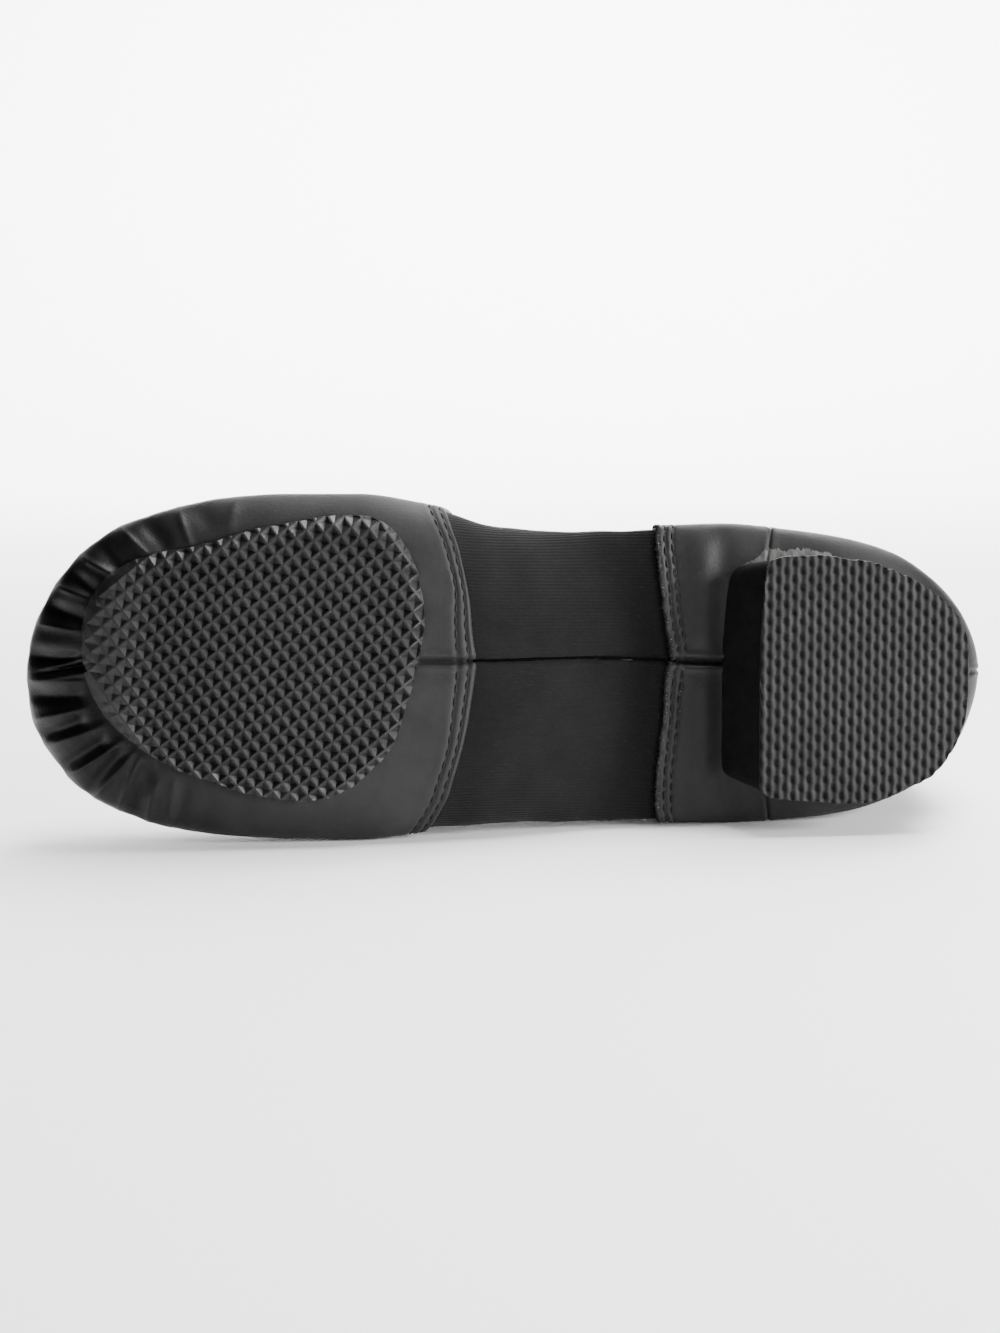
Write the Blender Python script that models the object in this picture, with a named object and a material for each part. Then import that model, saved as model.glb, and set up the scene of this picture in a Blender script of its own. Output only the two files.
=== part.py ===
"""Right jazz shoe, women's EU 38: a soft slip-on with a split sole, laid down on its lateral side.

The shoe is worked out standing on its sole, as (along, height, medial): along runs from toe to heel, height up from
the ground and medial towards the other foot. Then it is laid on its side: toe at -X, heel at +X, sole towards -Y.
"""

import bmesh
import bpy
import numpy as np
from mathutils import Vector
from mathutils.bvhtree import BVHTree

# Sizes in metres
LENGTH = 0.2378
BALL_WIDTH = 0.0858
INSTEP_HEIGHT = 0.065
BACK_HEIGHT = 0.075
HEEL_LIFT = 0.0118
TOE_SPRING = 0.0042
FABRIC = 0.0013
LEATHER_LAP = 0.0010
BINDING = 0.0004
BINDING_WIDTH = 0.0045
PATCH = 0.0024
TOP_PIECE = 0.0022
INSOLE = 0.0015
GAP = 0.0004
NOSE = 0.017
TIP_OFFSET = -0.0043
THROAT = 0.1125
COLLAR_BACK = 0.2335
COLLAR_WIDTH = 0.054
COLLAR_OFFSET = -0.0062

# Where the forefoot leather and the heel leather end, as turns round the outline from toe 0 to heel 1
FRONT_SEAM = 0.457
REAR_SEAM = 0.598

# Outline seen from below, standing out from the middle seam, as shares of the ball width
OUTLINE = """
turn   medial   lateral
0.00  -0.0501   0.0501
0.05   0.0600   0.1870
0.10   0.1720   0.2760
0.15   0.2790   0.3700
0.20   0.3620   0.4310
0.25   0.4120   0.4770
0.30   0.4470   0.5000
0.35   0.4590   0.5090
0.40   0.4590   0.5100
0.45   0.4260   0.4900
0.50   0.3690   0.4820
0.55   0.3580   0.4810
0.60   0.3640   0.4740
0.65   0.3700   0.4760
0.70   0.3530   0.4670
0.75   0.3280   0.4480
0.80   0.2860   0.4090
0.85   0.2150   0.3520
0.90   0.1300   0.2650
0.95   0.0360   0.1560
1.00  -0.0501   0.0501
"""

# Side profile: lift is a share of the heel lift, spring of the toe spring, the others of the instep height
PROFILE = """
along   lift   spring  bulge   crown
0.000  0.000   1.000   0.125   0.345
0.060  0.000   0.380   0.122   0.410
0.110  0.000   0.080   0.120   0.440
0.160  0.000   0.000   0.118   0.462
0.220  0.000   0.000   0.115   0.500
0.300  0.000   0.000   0.110   0.580
0.360  0.000   0.000   0.110   0.690
0.415  0.000   0.000   0.125   0.845
0.470  0.020   0.000   0.150   1.000
0.520  0.180   0.000   0.165   1.050
0.590  0.580   0.000   0.100   1.080
0.660  0.880   0.000   0.056   1.110
0.720  1.000   0.000   0.048   1.150
0.780  1.020   0.000   0.052   1.190
0.860  0.980   0.000   0.074   1.220
0.930  1.060   0.000   0.120   1.240
1.000  1.250   0.000   0.185   1.250
"""

# Radius of the underside's edge, as shares of the ball width
EDGE = """
turn   medial   lateral
0.00   0.165    0.165
0.15   0.160    0.180
0.30   0.150    0.200
0.42   0.150    0.210
0.50   0.300    0.330
0.58   0.300    0.330
0.66   0.170    0.180
0.80   0.150    0.150
1.00   0.130    0.130
"""

# How the columns run: turn on the outline each side, place on the middle seam, turn on the collar
COLUMNS = """
turn   medial   lateral   seam    collar
0.000  0.0000   0.0000    0.085   0.000
0.150  0.1500   0.1500    0.120   0.045
0.300  0.3000   0.2990    0.250   0.095
0.457  0.4644   0.4501    0.474   0.170
0.598  0.5968   0.5988    0.668   0.443
0.720  0.7200   0.7200    0.780   0.640
0.850  0.8500   0.8500    0.880   0.820
1.000  1.0000   1.0000    0.950   1.000
"""

# Collar edge from the throat to the back: width share of the collar width, height share of the back height
COLLAR = """
turn   medial   lateral   height
0.00   0.000    0.000     0.890
0.08   0.170    0.170     0.886
0.17   0.275    0.275     0.865
0.30   0.350    0.390     0.818
0.45   0.430    0.517     0.775
0.60   0.490    0.583     0.760
0.72   0.480    0.560     0.780
0.83   0.400    0.430     0.845
0.92   0.230    0.240     0.940
1.00   0.000    0.000     1.000
"""

# Line of the middle seam under the foot, as shares of the ball width towards the medial side
SEAM = """
along  medial
0.00  -0.050
0.08  -0.012
0.16   0.000
0.47   0.000
0.60  -0.004
0.72  -0.016
0.86  -0.036
1.00  -0.050
"""

# Outline of the rubber patch under the ball: share of the length, shares of the ball width
PATCH_OUTLINE = """
along  medial  lateral
0.066  0.060   0.000
0.069  0.140   0.050
0.084  0.215   0.135
0.105  0.268   0.203
0.126  0.293   0.250
0.155  0.313   0.300
0.187  0.329   0.332
0.226  0.360   0.370
0.260  0.382   0.391
0.290  0.398   0.400
0.313  0.410   0.392
0.339  0.415   0.363
0.361  0.410   0.308
0.385  0.370   0.232
0.395  0.330   0.135
0.404  0.297   0.058
0.411  0.221  -0.034
0.416  0.150  -0.090
"""

# Outline of the heel's top piece
HEEL_OUTLINE = """
along  medial  lateral
0.7580 0.000   0.357
0.7600 0.140   0.365
0.7640 0.270   0.378
0.7680 0.288   0.382
0.7740 0.293   0.386
0.7850 0.297   0.389
0.8060 0.299   0.395
0.8250 0.298   0.397
0.8450 0.289   0.398
0.8650 0.283   0.397
0.8850 0.266   0.385
0.9050 0.240   0.358
0.9250 0.210   0.335
0.9450 0.166   0.284
0.9590 0.115   0.216
0.9660 0.066   0.150
0.9680 0.019   0.045
"""
HEEL_FLARE = -0.070
BREAST_SLANT = 0.0098


def table(text):
    """A table's named columns, each as an array."""
    rows = [line.split() for line in text.strip().splitlines()]
    values = np.array(rows[1:], float)
    return {name: values[:, k] for k, name in enumerate(rows[0])}


def smooth(x, knots, values):
    """Value at x of a smooth curve through the knots that never overshoots them."""
    x = np.clip(np.asarray(x, float), knots[0], knots[-1])
    step = np.diff(knots)
    slope = np.diff(values) / step
    tangent = np.zeros(len(knots))
    same = slope[:-1] * slope[1:] > 0
    left = 2 * step[1:] + step[:-1]
    right = step[1:] + 2 * step[:-1]
    before = np.where(same, slope[:-1], 1.0)
    after = np.where(same, slope[1:], 1.0)
    inner = (left + right) / (left / before + right / after)
    tangent[1:-1] = np.where(same, inner, 0.0)
    tangent[0] = slope[0]
    tangent[-1] = slope[-1]
    k = np.clip(np.searchsorted(knots, x, side="right") - 1, 0, len(step) - 1)
    t = (x - knots[k]) / step[k]
    start = (1 + 2 * t) * (1 - t) ** 2 * values[k] + t * (1 - t) ** 2 * step[k] * tangent[k]
    end = t * t * (3 - 2 * t) * values[k + 1] + t * t * (t - 1) * step[k] * tangent[k + 1]
    return start + end


def ease(x):
    x = np.clip(x, 0.0, 1.0)
    return x * x * (3 - 2 * x)


outline_table = table(OUTLINE)
profile_table = table(PROFILE)
edge_table = table(EDGE)
column_table = table(COLUMNS)
collar_table = table(COLLAR)
seam_table = table(SEAM)

SIDES = {"medial": 1.0, "lateral": -1.0}

# How late each side leans in towards the collar; the lateral side is straight, as it lies on the floor
LEAN = {"medial": 2.6, "lateral": 0.9}

INNER_LENGTH = LENGTH - 2 * LEATHER_LAP


def from_turn(turn):
    return LEATHER_LAP + INNER_LENGTH * (1 - np.cos(np.pi * turn)) / 2


def to_turn(along):
    share = np.clip((along - LEATHER_LAP) / INNER_LENGTH, 0.0, 1.0)
    return np.arccos(1 - 2 * share) / np.pi


def edge_out(turn, side):
    """How far the outline stands out from the middle seam's line, signed towards medial."""
    return SIDES[side] * BALL_WIDTH * smooth(turn, outline_table["turn"], outline_table[side])


def profile(name, along):
    return smooth(along / LENGTH, profile_table["along"], profile_table[name])


def under(along):
    """Height of the fabric's underside along the middle seam."""
    base = PATCH + GAP + LEATHER_LAP
    return base + HEEL_LIFT * profile("lift", along) + TOE_SPRING * profile("spring", along)


def bulge(along):
    return under(along) + INSTEP_HEIGHT * profile("bulge", along)


def crown(along):
    """Height of the last over the middle of each section."""
    low = bulge(along)
    back = np.clip(1 - along / NOSE, 0.0, 1.0)
    nose = (1 - back**2.2) ** (1 / 2.2)
    return low + (INSTEP_HEIGHT * profile("crown", along) - low) * nose


def seam_line(along):
    return BALL_WIDTH * smooth(along / LENGTH, seam_table["along"], seam_table["medial"])


def over(along, medial):
    """Height of the last's top over a point of the plan."""
    turn = to_turn(along)
    inside = edge_out(turn, "medial")
    outside = edge_out(turn, "lateral")
    middle = (inside + outside) / 2
    half = np.maximum((inside - outside) / 2, 1e-6)
    share = np.clip(np.abs(medial - middle) / half, 0.0, 1.0)
    low = bulge(along)
    return low + (crown(along) - low) * (1 - share**2.25) ** (1 / 2.25)


def column(name, turn):
    return smooth(turn, column_table["turn"], column_table[name])


def collar_point(turn, side):
    """Point of the collar edge, the same for both sides at the throat and at the back."""
    along = THROAT + (COLLAR_BACK - THROAT) * (1 - np.cos(np.pi * turn)) / 2
    out = SIDES[side] * COLLAR_WIDTH * smooth(turn, collar_table["turn"], collar_table[side])
    start = ease(turn / 0.35)
    middle = TIP_OFFSET + (COLLAR_OFFSET - TIP_OFFSET) * start
    middle = middle + (TIP_OFFSET - COLLAR_OFFSET) * ease((turn - 0.75) / 0.25)
    height = BACK_HEIGHT * smooth(turn, collar_table["turn"], collar_table["height"])
    return along, height, middle + out


def low_point(turn, side, level):
    """Point of the underside: level 0 at the outline, 0.5 where the edge's radius ends, 1 on the middle seam."""
    place = column(side, turn)
    start = from_turn(place)
    start_out = edge_out(place, side)
    end = LENGTH * column("seam", turn)
    end_out = seam_line(end)
    run = np.hypot(end - start, end_out - start_out)
    radius = BALL_WIDTH * smooth(place, edge_table["turn"], edge_table[side])
    radius = np.minimum(radius, 0.85 * run)
    angle = np.pi / 2 * np.clip(level / 0.5, 0.0, 1.0)
    inward = radius * (1 - np.cos(angle)) + (run - radius) * np.clip(level / 0.5 - 1, 0.0, 1.0)
    share = inward / run
    along = start + (end - start) * share
    medial = start_out + (end_out - start_out) * share
    middle = under(along)
    height = bulge(start) + (middle - bulge(start)) * np.sin(angle) ** 1.1
    return along, height, medial


def high_point(turn, side, level):
    """Point of the side and top: level 0 at the outline, 1 at the collar edge."""
    place = column(side, turn)
    start = from_turn(place)
    start_out = edge_out(place, side)
    low = bulge(start)
    end, end_height, end_out = collar_point(column("collar", turn), side)
    share = 1 - np.cos(np.pi / 2 * level)
    along = start + (end - start) * share
    medial = start_out + (end_out - start_out) * share
    height = over(along, medial)
    height = height + (end_height - over(end, end_out)) * share**2
    side_along = start + (end - start) * level**2.6
    side_medial = start_out + (end_out - start_out) * level ** LEAN[side]
    side_height = low + (end_height - low) * level
    blend = ease((turn - 0.40) / 0.26)
    along = along + (side_along - along) * blend
    medial = medial + (side_medial - medial) * blend
    height = height + (side_height - height) * blend
    return along, height, medial


def base_point(turn, side, level):
    """Point of the fabric's outer face: level -1 on the middle seam, 0 at the outline, 1 at the collar edge."""
    low = low_point(turn, side, np.maximum(-level, 0.0))
    high = high_point(turn, side, np.maximum(level, 0.0))
    return np.stack([np.where(level < 0, a, b) for a, b in zip(low, high)], axis=-1)


def turns(front, middle, rear, step):
    """Columns of one side, two of them close together at each seam."""
    first = FRONT_SEAM * np.arange(front + 1) / front
    second = FRONT_SEAM + (REAR_SEAM - FRONT_SEAM) * np.arange(1, middle + 1) / middle
    third = REAR_SEAM + (1 - REAR_SEAM) * np.arange(rear + 1) / rear
    first[-1] -= step
    second = np.concatenate([[FRONT_SEAM], second])
    third[0] += step
    leather = np.concatenate([np.ones(front + 1), np.zeros(middle + 1), np.ones(rear + 1)])
    return np.concatenate([first, second, third]), leather


def normals_of(points, faces):
    """Each point's outward direction, averaged over its faces by area."""
    total = np.zeros_like(points)
    corners = points[faces]
    area = np.cross(corners[:, 2] - corners[:, 0], corners[:, 3] - corners[:, 1])
    for k in range(4):
        np.add.at(total, faces[:, k], area)
    size = np.linalg.norm(total, axis=1, keepdims=True)
    return total / np.maximum(size, 1e-12)


def grid_faces(columns, rows, offset=0, flip=False):
    """Quads of a grid that closes on itself round the columns."""
    c, r = np.meshgrid(np.arange(columns), np.arange(rows - 1), indexing="ij")
    c = c.ravel()
    r = r.ravel()
    following = (c + 1) % columns
    quads = np.stack([c * rows + r, following * rows + r, following * rows + r + 1, c * rows + r + 1], axis=1)
    if flip:
        quads = quads[:, ::-1]
    return quads + offset


def seam_partner(columns):
    """For each column, the one that shares its point on the middle seam."""
    index = np.arange(columns)
    return np.minimum(index, (columns - index) % columns)


def shell_directions(points, columns, rows):
    """Outward directions of a grid whose first row is joined in pairs along the middle seam."""
    flat = points.reshape(-1, 3)
    index = np.arange(columns * rows)
    partner = seam_partner(columns)
    index[np.arange(columns) * rows] = partner * rows
    faces = index[grid_faces(columns, rows)]
    result = normals_of(flat, faces)
    result = result[index]
    return result.reshape(points.shape)


def make_object(name, points, faces, colour, roughness):
    """One closed body from points in (along, height, medial), laid down later."""
    mesh = bpy.data.meshes.new(name)
    mesh.from_pydata([tuple(p) for p in points], [], [tuple(f) for f in faces])
    work = bmesh.new()
    work.from_mesh(mesh)
    bmesh.ops.remove_doubles(work, verts=work.verts, dist=1e-6)
    bmesh.ops.recalc_face_normals(work, faces=work.faces)
    bmesh.ops.triangulate(work, faces=work.faces)
    work.to_mesh(mesh)
    work.free()
    mesh.shade_smooth()
    mesh.set_sharp_from_angle(angle=np.radians(50))
    thing = bpy.data.objects.new(name, mesh)
    bpy.context.collection.objects.link(thing)
    material = bpy.data.materials.new(name + "_material")
    material.use_nodes = True
    shader = material.node_tree.nodes["Principled BSDF"]
    shader.inputs["Base Color"].default_value = (*colour, 1.0)
    shader.inputs["Roughness"].default_value = roughness
    shader.inputs["Metallic"].default_value = 0.0
    mesh.materials.append(material)
    return thing


def solid_tree(thing):
    """Search tree over an object's faces, in (along, height, medial)."""
    mesh = thing.data
    points = [v.co.copy() for v in mesh.vertices]
    faces = [tuple(p.vertices) for p in mesh.polygons]
    return BVHTree.FromPolygons(points, faces)


def height_above(tree, along, medial, start, fallback):
    """Height where a line going up from start first meets the body."""
    hit = tree.ray_cast(Vector((along, start, medial)), Vector((0.0, 1.0, 0.0)))[0]
    return hit.y if hit is not None else fallback


def height_below(tree, along, medial, start, fallback):
    hit = tree.ray_cast(Vector((along, start, medial)), Vector((0.0, -1.0, 0.0)))[0]
    return hit.y if hit is not None else fallback


def make_upper():
    """The soft bag: leather, fabric and leather again, closed below and open at the collar."""
    turn, leather = turns(17, 9, 16, 0.0022)
    low = np.concatenate([[-1.0, -0.86, -0.72, -0.58], -0.5 * np.array([1, 0.8, 0.6, 0.4, 0.2])])
    high = np.array([0, 0.07, 0.15, 0.24, 0.34, 0.45, 0.56, 0.67, 0.78, 0.89, 1.0])
    along, height, medial = collar_point(column("collar", turn), "lateral")
    start = from_turn(column("lateral", turn))
    run = np.maximum(np.hypot(along - start, height - bulge(start)), 0.030)
    rim = 1 - BINDING_WIDTH / run
    rim = np.where(turn < 0.45, 1 - BINDING_WIDTH / (run * 1.57), rim)
    levels = np.concatenate([low, high])
    rows = len(levels) + 2
    grid_turn, grid_level = np.meshgrid(turn, levels, indexing="ij")
    grid_level = np.where(grid_level > 0, grid_level * rim[:, None], grid_level)
    edge = np.stack([rim + 0.12 * (1 - rim), np.ones(len(turn))], axis=1)
    grid_level = np.concatenate([grid_level, edge], axis=1)
    grid_turn = np.repeat(turn[:, None], rows, axis=1)
    outside = base_point(grid_turn, "lateral", grid_level)
    inside = base_point(grid_turn, "medial", grid_level)[-2:0:-1]
    base = np.concatenate([outside, inside])
    columns = len(base)
    direction = shell_directions(base, columns, rows)
    raised = np.concatenate([leather, leather[-2:0:-1]])[:, None] * LEATHER_LAP
    raised = np.repeat(raised, rows, axis=1)
    raised[:, -2:] = LEATHER_LAP + BINDING
    outer = base + direction * raised[:, :, None]
    inner = base - direction * FABRIC
    keep = [0, 1, 2, 3, 4, 6, 8, 9, 11, 12, 13, 14, 15, 16, 17, 18, 19, rows - 1]
    keep = sorted(set(k for k in keep if k < rows - 2) | {rows - 1})
    inner = inner[:, keep]
    inner_rows = len(keep)
    partner = seam_partner(columns)
    outer_index = np.arange(columns * rows)
    outer_index[np.arange(columns) * rows] = partner * rows
    inner_index = np.arange(columns * inner_rows) + columns * rows
    inner_index[np.arange(columns) * inner_rows] = partner * inner_rows + columns * rows
    points = np.concatenate([outer.reshape(-1, 3), inner.reshape(-1, 3)])
    faces = outer_index[grid_faces(columns, rows)].tolist()
    faces += inner_index[grid_faces(columns, inner_rows, flip=True)].tolist()
    c = np.arange(columns)
    following = (c + 1) % columns
    rim_faces = np.stack(
        [
            c * rows + rows - 1,
            following * rows + rows - 1,
            columns * rows + following * inner_rows + inner_rows - 1,
            columns * rows + c * inner_rows + inner_rows - 1,
        ],
        axis=1,
    )
    faces += rim_faces.tolist()
    faces = [list(dict.fromkeys(face)) for face in faces]
    faces = [face for face in faces if len(face) > 2]
    return make_object("upper", points, faces, (0.02, 0.02, 0.021), 0.5)


def loop_from(text, count, offset=0.0):
    """Closed loop of plan points from an outline table, evenly spaced, as (along, medial)."""
    rows = table(text)
    along = LENGTH * rows["along"]
    first = np.stack([along, BALL_WIDTH * rows["medial"]], axis=1)
    second = np.stack([along, -BALL_WIDTH * rows["lateral"]], axis=1)[::-1]
    loop = np.concatenate([first, second])
    closed = np.concatenate([loop, loop[:1]])
    distance = np.concatenate([[0], np.cumsum(np.linalg.norm(np.diff(closed, axis=0), axis=1))])
    padded_distance = np.concatenate([distance[:-1] - distance[-1], distance, distance[1:] + distance[-1]])
    padded = np.concatenate([loop, closed, closed[1:]])
    where = distance[-1] * np.arange(count) / count
    result = np.stack([smooth(where, padded_distance, padded[:, k]) for k in range(2)], axis=1)
    return result


def round_off(loop, times):
    """Loop with its corners softened a little."""
    for _ in range(times):
        loop = (np.roll(loop, 1, axis=0) + 2 * loop + np.roll(loop, -1, axis=0)) / 4
    return loop


def make_slab(name, rings, colour, roughness):
    """Closed body from rings of points: out over its top from the middle, then back in under it."""
    count = len(rings[0])
    points = np.concatenate(rings + [rings[0].mean(axis=0, keepdims=True), rings[-1].mean(axis=0, keepdims=True)])
    faces = []
    last = (len(rings) - 1) * count
    for c in range(count):
        d = (c + 1) % count
        for k in range(len(rings) - 1):
            faces.append([k * count + c, k * count + d, (k + 1) * count + d, (k + 1) * count + c])
        faces.append([c, d, len(rings) * count])
        faces.append([last + c, last + d, len(rings) * count + 1])
    return make_object(name, points, faces, colour, roughness)


def plan_rings(loop, shares, middle=None):
    """The loop shrunk towards its middle, once for each share, as plan points."""
    middle = loop.mean(axis=0) if middle is None else middle
    return [middle + (loop - middle) * share for share in shares]


def lifted(ring, heights):
    return np.stack([ring[:, 0], np.broadcast_to(heights, len(ring)), ring[:, 1]], axis=1)


def seat(tree, ring, fallback):
    """Heights just under the upper for each plan point."""
    return np.array([height_above(tree, x, z, -0.01, fallback) for x, z in ring]) - GAP


def make_patch(tree):
    """Thin rubber patch that follows the leather under the ball, flat where it treads."""
    loop = round_off(loop_from(PATCH_OUTLINE, 56), 1)
    rings = plan_rings(loop, [0.3, 0.55, 0.75, 0.88, 0.96, 1.0])
    tops = [lifted(ring, seat(tree, ring, PATCH + GAP)) for ring in rings]
    soles = []
    for ring, top in zip(rings[::-1], tops[::-1]):
        height = np.maximum(top[:, 1] - PATCH, 0.0)
        height = np.where(height < 6e-5, 0.0, height)
        soles.append(lifted(ring, height))
    soles[0][:, 1] += 0.2 * PATCH
    return make_slab("forefoot_sole", tops + soles, (0.03, 0.03, 0.031), 0.6)


def heel_loop(grow, slant, count=44):
    """Plan loop of the heel, grown about its middle, its breast moved forward by slant."""
    loop = round_off(loop_from(HEEL_OUTLINE, count), 1)
    middle = loop.mean(axis=0)
    front = loop[:, 0].min()
    depth = loop[:, 0].max() - front
    ahead = np.clip((front + 0.35 * depth - loop[:, 0]) / (0.35 * depth), 0.0, 1.0)
    grown = middle + (loop - middle) * (1 + grow)
    grown[:, 0] -= slant * ahead
    return grown


def make_heel_block(tree):
    """Firm block between the heel seat and the top piece, drawn in above and with a slanted breast."""
    low = heel_loop(0.0, 0.0)
    high = heel_loop(HEEL_FLARE, BREAST_SLANT)
    rings = plan_rings(high, [0.25, 0.45, 0.6, 0.72, 0.82, 0.9, 0.96, 1.0])
    tops = [lifted(ring, seat(tree, ring, 0.015) - 0.0002) for ring in rings]
    base = TOP_PIECE + 0.0003
    waist = lifted(heel_loop(0.4 * HEEL_FLARE, 0.55 * BREAST_SLANT), 0.0)
    waist[:, 1] = base + 0.5 * (tops[-1][:, 1] - base)
    soles = [lifted(ring, base) for ring in plan_rings(low, [1.0, 0.5])]
    return make_slab("heel_block", tops + [waist] + soles, (0.02, 0.02, 0.02), 0.7)


def make_top_piece():
    """Rubber sheet under the heel, flat on the ground."""
    rings = plan_rings(heel_loop(0.004, 0.0), [0.5, 1.0])
    tops = [lifted(ring, TOP_PIECE) for ring in rings]
    soles = [lifted(ring, 0.0) for ring in rings[::-1]]
    return make_slab("heel_top_piece", tops + soles, (0.05, 0.05, 0.052), 0.65)


def make_insole(tree):
    """Thin sock that lies on the inside of the underside."""
    turn = np.linspace(0, 1, 37)
    sides = []
    for side in ("lateral", "medial"):
        place = column(side, turn)
        start = np.stack([from_turn(place), edge_out(place, side)], axis=1)
        end_along = LENGTH * column("seam", turn)
        end = np.stack([end_along, seam_line(end_along)], axis=1)
        run = np.linalg.norm(end - start, axis=1, keepdims=True)
        inset = 0.0095 + 0.003 * ease((turn - 0.36) / 0.1) * ease((0.76 - turn) / 0.1)
        sides.append(start + (end - start) * inset[:, None] / run)
    loop = np.concatenate([sides[0], sides[1][-2:0:-1]])
    loop = round_off(loop, 1)
    shares = [0.35, 0.65, 0.86, 1.0]
    spine_start = np.array([0.25 * LENGTH, seam_line(0.25 * LENGTH)])
    spine_end = np.array([0.86 * LENGTH, seam_line(0.86 * LENGTH)])
    points = []
    faces = []
    count = len(loop)
    axis = spine_end - spine_start
    where = np.clip((loop - spine_start) @ axis / (axis @ axis), 0.0, 1.0)
    spine = spine_start + where[:, None] * axis

    def floor_of(x, z):
        outer = height_above(tree, x, z, -0.01, 0.01)
        arch = ease((x / LENGTH - 0.34) / 0.06) * ease((0.80 - x / LENGTH) / 0.06)
        return height_below(tree, x, z, outer + 0.006, outer + 0.002) + (1.3 + 1.2 * arch) * GAP

    rings = [spine] + [spine + (loop - spine) * share for share in shares]
    lower = [[(x, floor_of(x, z), z) for x, z in ring] for ring in rings]
    for ring in lower:
        points += ring
    for k, ring in enumerate(lower):
        lift = INSOLE if k < len(rings) - 1 else INSOLE * 0.8
        points += [(x, y + lift, z) for x, y, z in ring]
    size = len(rings) * count
    for k in range(1, len(rings)):
        for c in range(count):
            d = (c + 1) % count
            quad = [(k - 1) * count + c, (k - 1) * count + d, k * count + d, k * count + c]
            faces.append(quad)
            faces.append([size + v for v in quad[::-1]])
    last = (len(rings) - 1) * count
    for c in range(count):
        d = (c + 1) % count
        faces.append([last + c, last + d, size + last + d, size + last + c])
    first = list(range(count))
    half = count // 2
    for c in range(half):
        quad = [first[c], first[c + 1], first[(count - c - 1) % count], first[(count - c) % count]]
        faces.append(quad)
        faces.append([size + v for v in quad[::-1]])
    faces = [list(dict.fromkeys(face)) for face in faces]
    faces = [face for face in faces if len(face) > 2]
    return make_object("insole", points, faces, (0.08, 0.08, 0.08), 0.9)


def solid_middle(things):
    """Centre of mass of closed triangle meshes."""
    volume = 0.0
    moment = np.zeros(3)
    for thing in things:
        points = np.array([v.co for v in thing.data.vertices])
        faces = np.array([p.vertices for p in thing.data.polygons])
        corner = points[faces]
        part = np.einsum("ij,ij->i", corner[:, 0], np.cross(corner[:, 1], corner[:, 2])) / 6
        volume += part.sum()
        moment += (part[:, None] * corner.sum(axis=1) / 4).sum(axis=0)
    return moment / volume


def lay_down(things):
    """Turns the shoe onto the three points of its lateral side that carry it, toe at -X and sole towards -Y."""
    middle = Vector(solid_middle(things))
    work = bmesh.new()
    for thing in things:
        for v in thing.data.vertices:
            work.verts.new(v.co)
    hull = bmesh.ops.convex_hull(work, input=work.verts, use_existing_faces=False)
    best = None
    for face in (f for f in hull["geom"] if isinstance(f, bmesh.types.BMFace)):
        normal = face.normal
        corners = [v.co.copy() for v in face.verts]
        if normal.dot(corners[0] - middle) < 0:
            normal = -normal
        if normal.z > -0.9:
            continue
        foot = middle + normal * normal.dot(corners[0] - middle)
        room = 1.0
        centre = sum(corners, Vector((0, 0, 0))) / len(corners)
        for a, b in zip(corners, corners[1:] + corners[:1]):
            inward = normal.cross(b - a).normalized()
            if inward.dot(centre - a) < 0:
                inward = -inward
            room = min(room, inward.dot(foot - a))
        if best is None or room > best[0]:
            best = (room, normal.copy())
    work.free()
    up = -np.array(best[1])
    forward = np.array([1.0, 0.0, 0.0])
    forward -= up * forward.dot(up)
    forward /= np.linalg.norm(forward)
    across = np.cross(up, forward)
    turn = np.stack([forward, across, up])
    everything = []
    for thing in things:
        points = np.array([v.co for v in thing.data.vertices]) @ turn.T
        everything.append(points)
    stack = np.concatenate(everything)
    low = stack.min(axis=0)
    high = stack.max(axis=0)
    origin = np.array([(low[0] + high[0]) / 2, (low[1] + high[1]) / 2, low[2]])
    for thing, points in zip(things, everything):
        thing.data.vertices.foreach_set("co", (points - origin).ravel())
        thing.data.update()


def main():
    for thing in list(bpy.data.objects):
        bpy.data.objects.remove(thing)
    upper = make_upper()
    tree = solid_tree(upper)
    patch = make_patch(tree)
    block = make_heel_block(tree)
    top_piece = make_top_piece()
    insole = make_insole(tree)
    things = [upper, patch, block, top_piece, insole]
    lay_down(things)


main()
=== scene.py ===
"""Looks of the right jazz shoe: leather, stretch fabric, seams, treads, lining and the studio.

The shoe is worked out standing on its sole, as (along, height, medial), with the same tables as
its solids, and each finished piece is then laid down with them.
"""

import bmesh
import bpy
import numpy as np
from mathutils import Matrix, Vector
from mathutils.bvhtree import BVHTree


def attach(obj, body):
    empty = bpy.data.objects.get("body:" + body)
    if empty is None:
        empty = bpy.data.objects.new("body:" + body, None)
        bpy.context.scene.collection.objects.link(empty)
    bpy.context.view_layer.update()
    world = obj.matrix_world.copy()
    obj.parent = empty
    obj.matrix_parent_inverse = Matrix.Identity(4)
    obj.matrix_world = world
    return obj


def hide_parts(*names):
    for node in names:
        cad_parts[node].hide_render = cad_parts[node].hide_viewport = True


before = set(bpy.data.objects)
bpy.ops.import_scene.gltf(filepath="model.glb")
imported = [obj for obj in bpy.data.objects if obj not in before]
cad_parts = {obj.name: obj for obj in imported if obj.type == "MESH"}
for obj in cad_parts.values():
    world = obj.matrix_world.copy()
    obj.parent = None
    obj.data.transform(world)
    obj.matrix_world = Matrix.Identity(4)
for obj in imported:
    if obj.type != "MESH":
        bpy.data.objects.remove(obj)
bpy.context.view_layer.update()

# How the shoe is laid down on its side: the row frame's axes in shoe coordinates, and its origin
TURN = np.array(
    [
        [0.999650984877808, -0.001777965664643883, 0.02635805893695312],
        [0.0, 0.9977326528135253, 0.06730140498735691],
        [-0.026417957618832588, -0.06727791577577591, 0.9973844289779663],
    ]
)
ORIGIN = np.array([0.1186998402249984, 0.036230902097319745, -0.04781228181291468])

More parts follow.
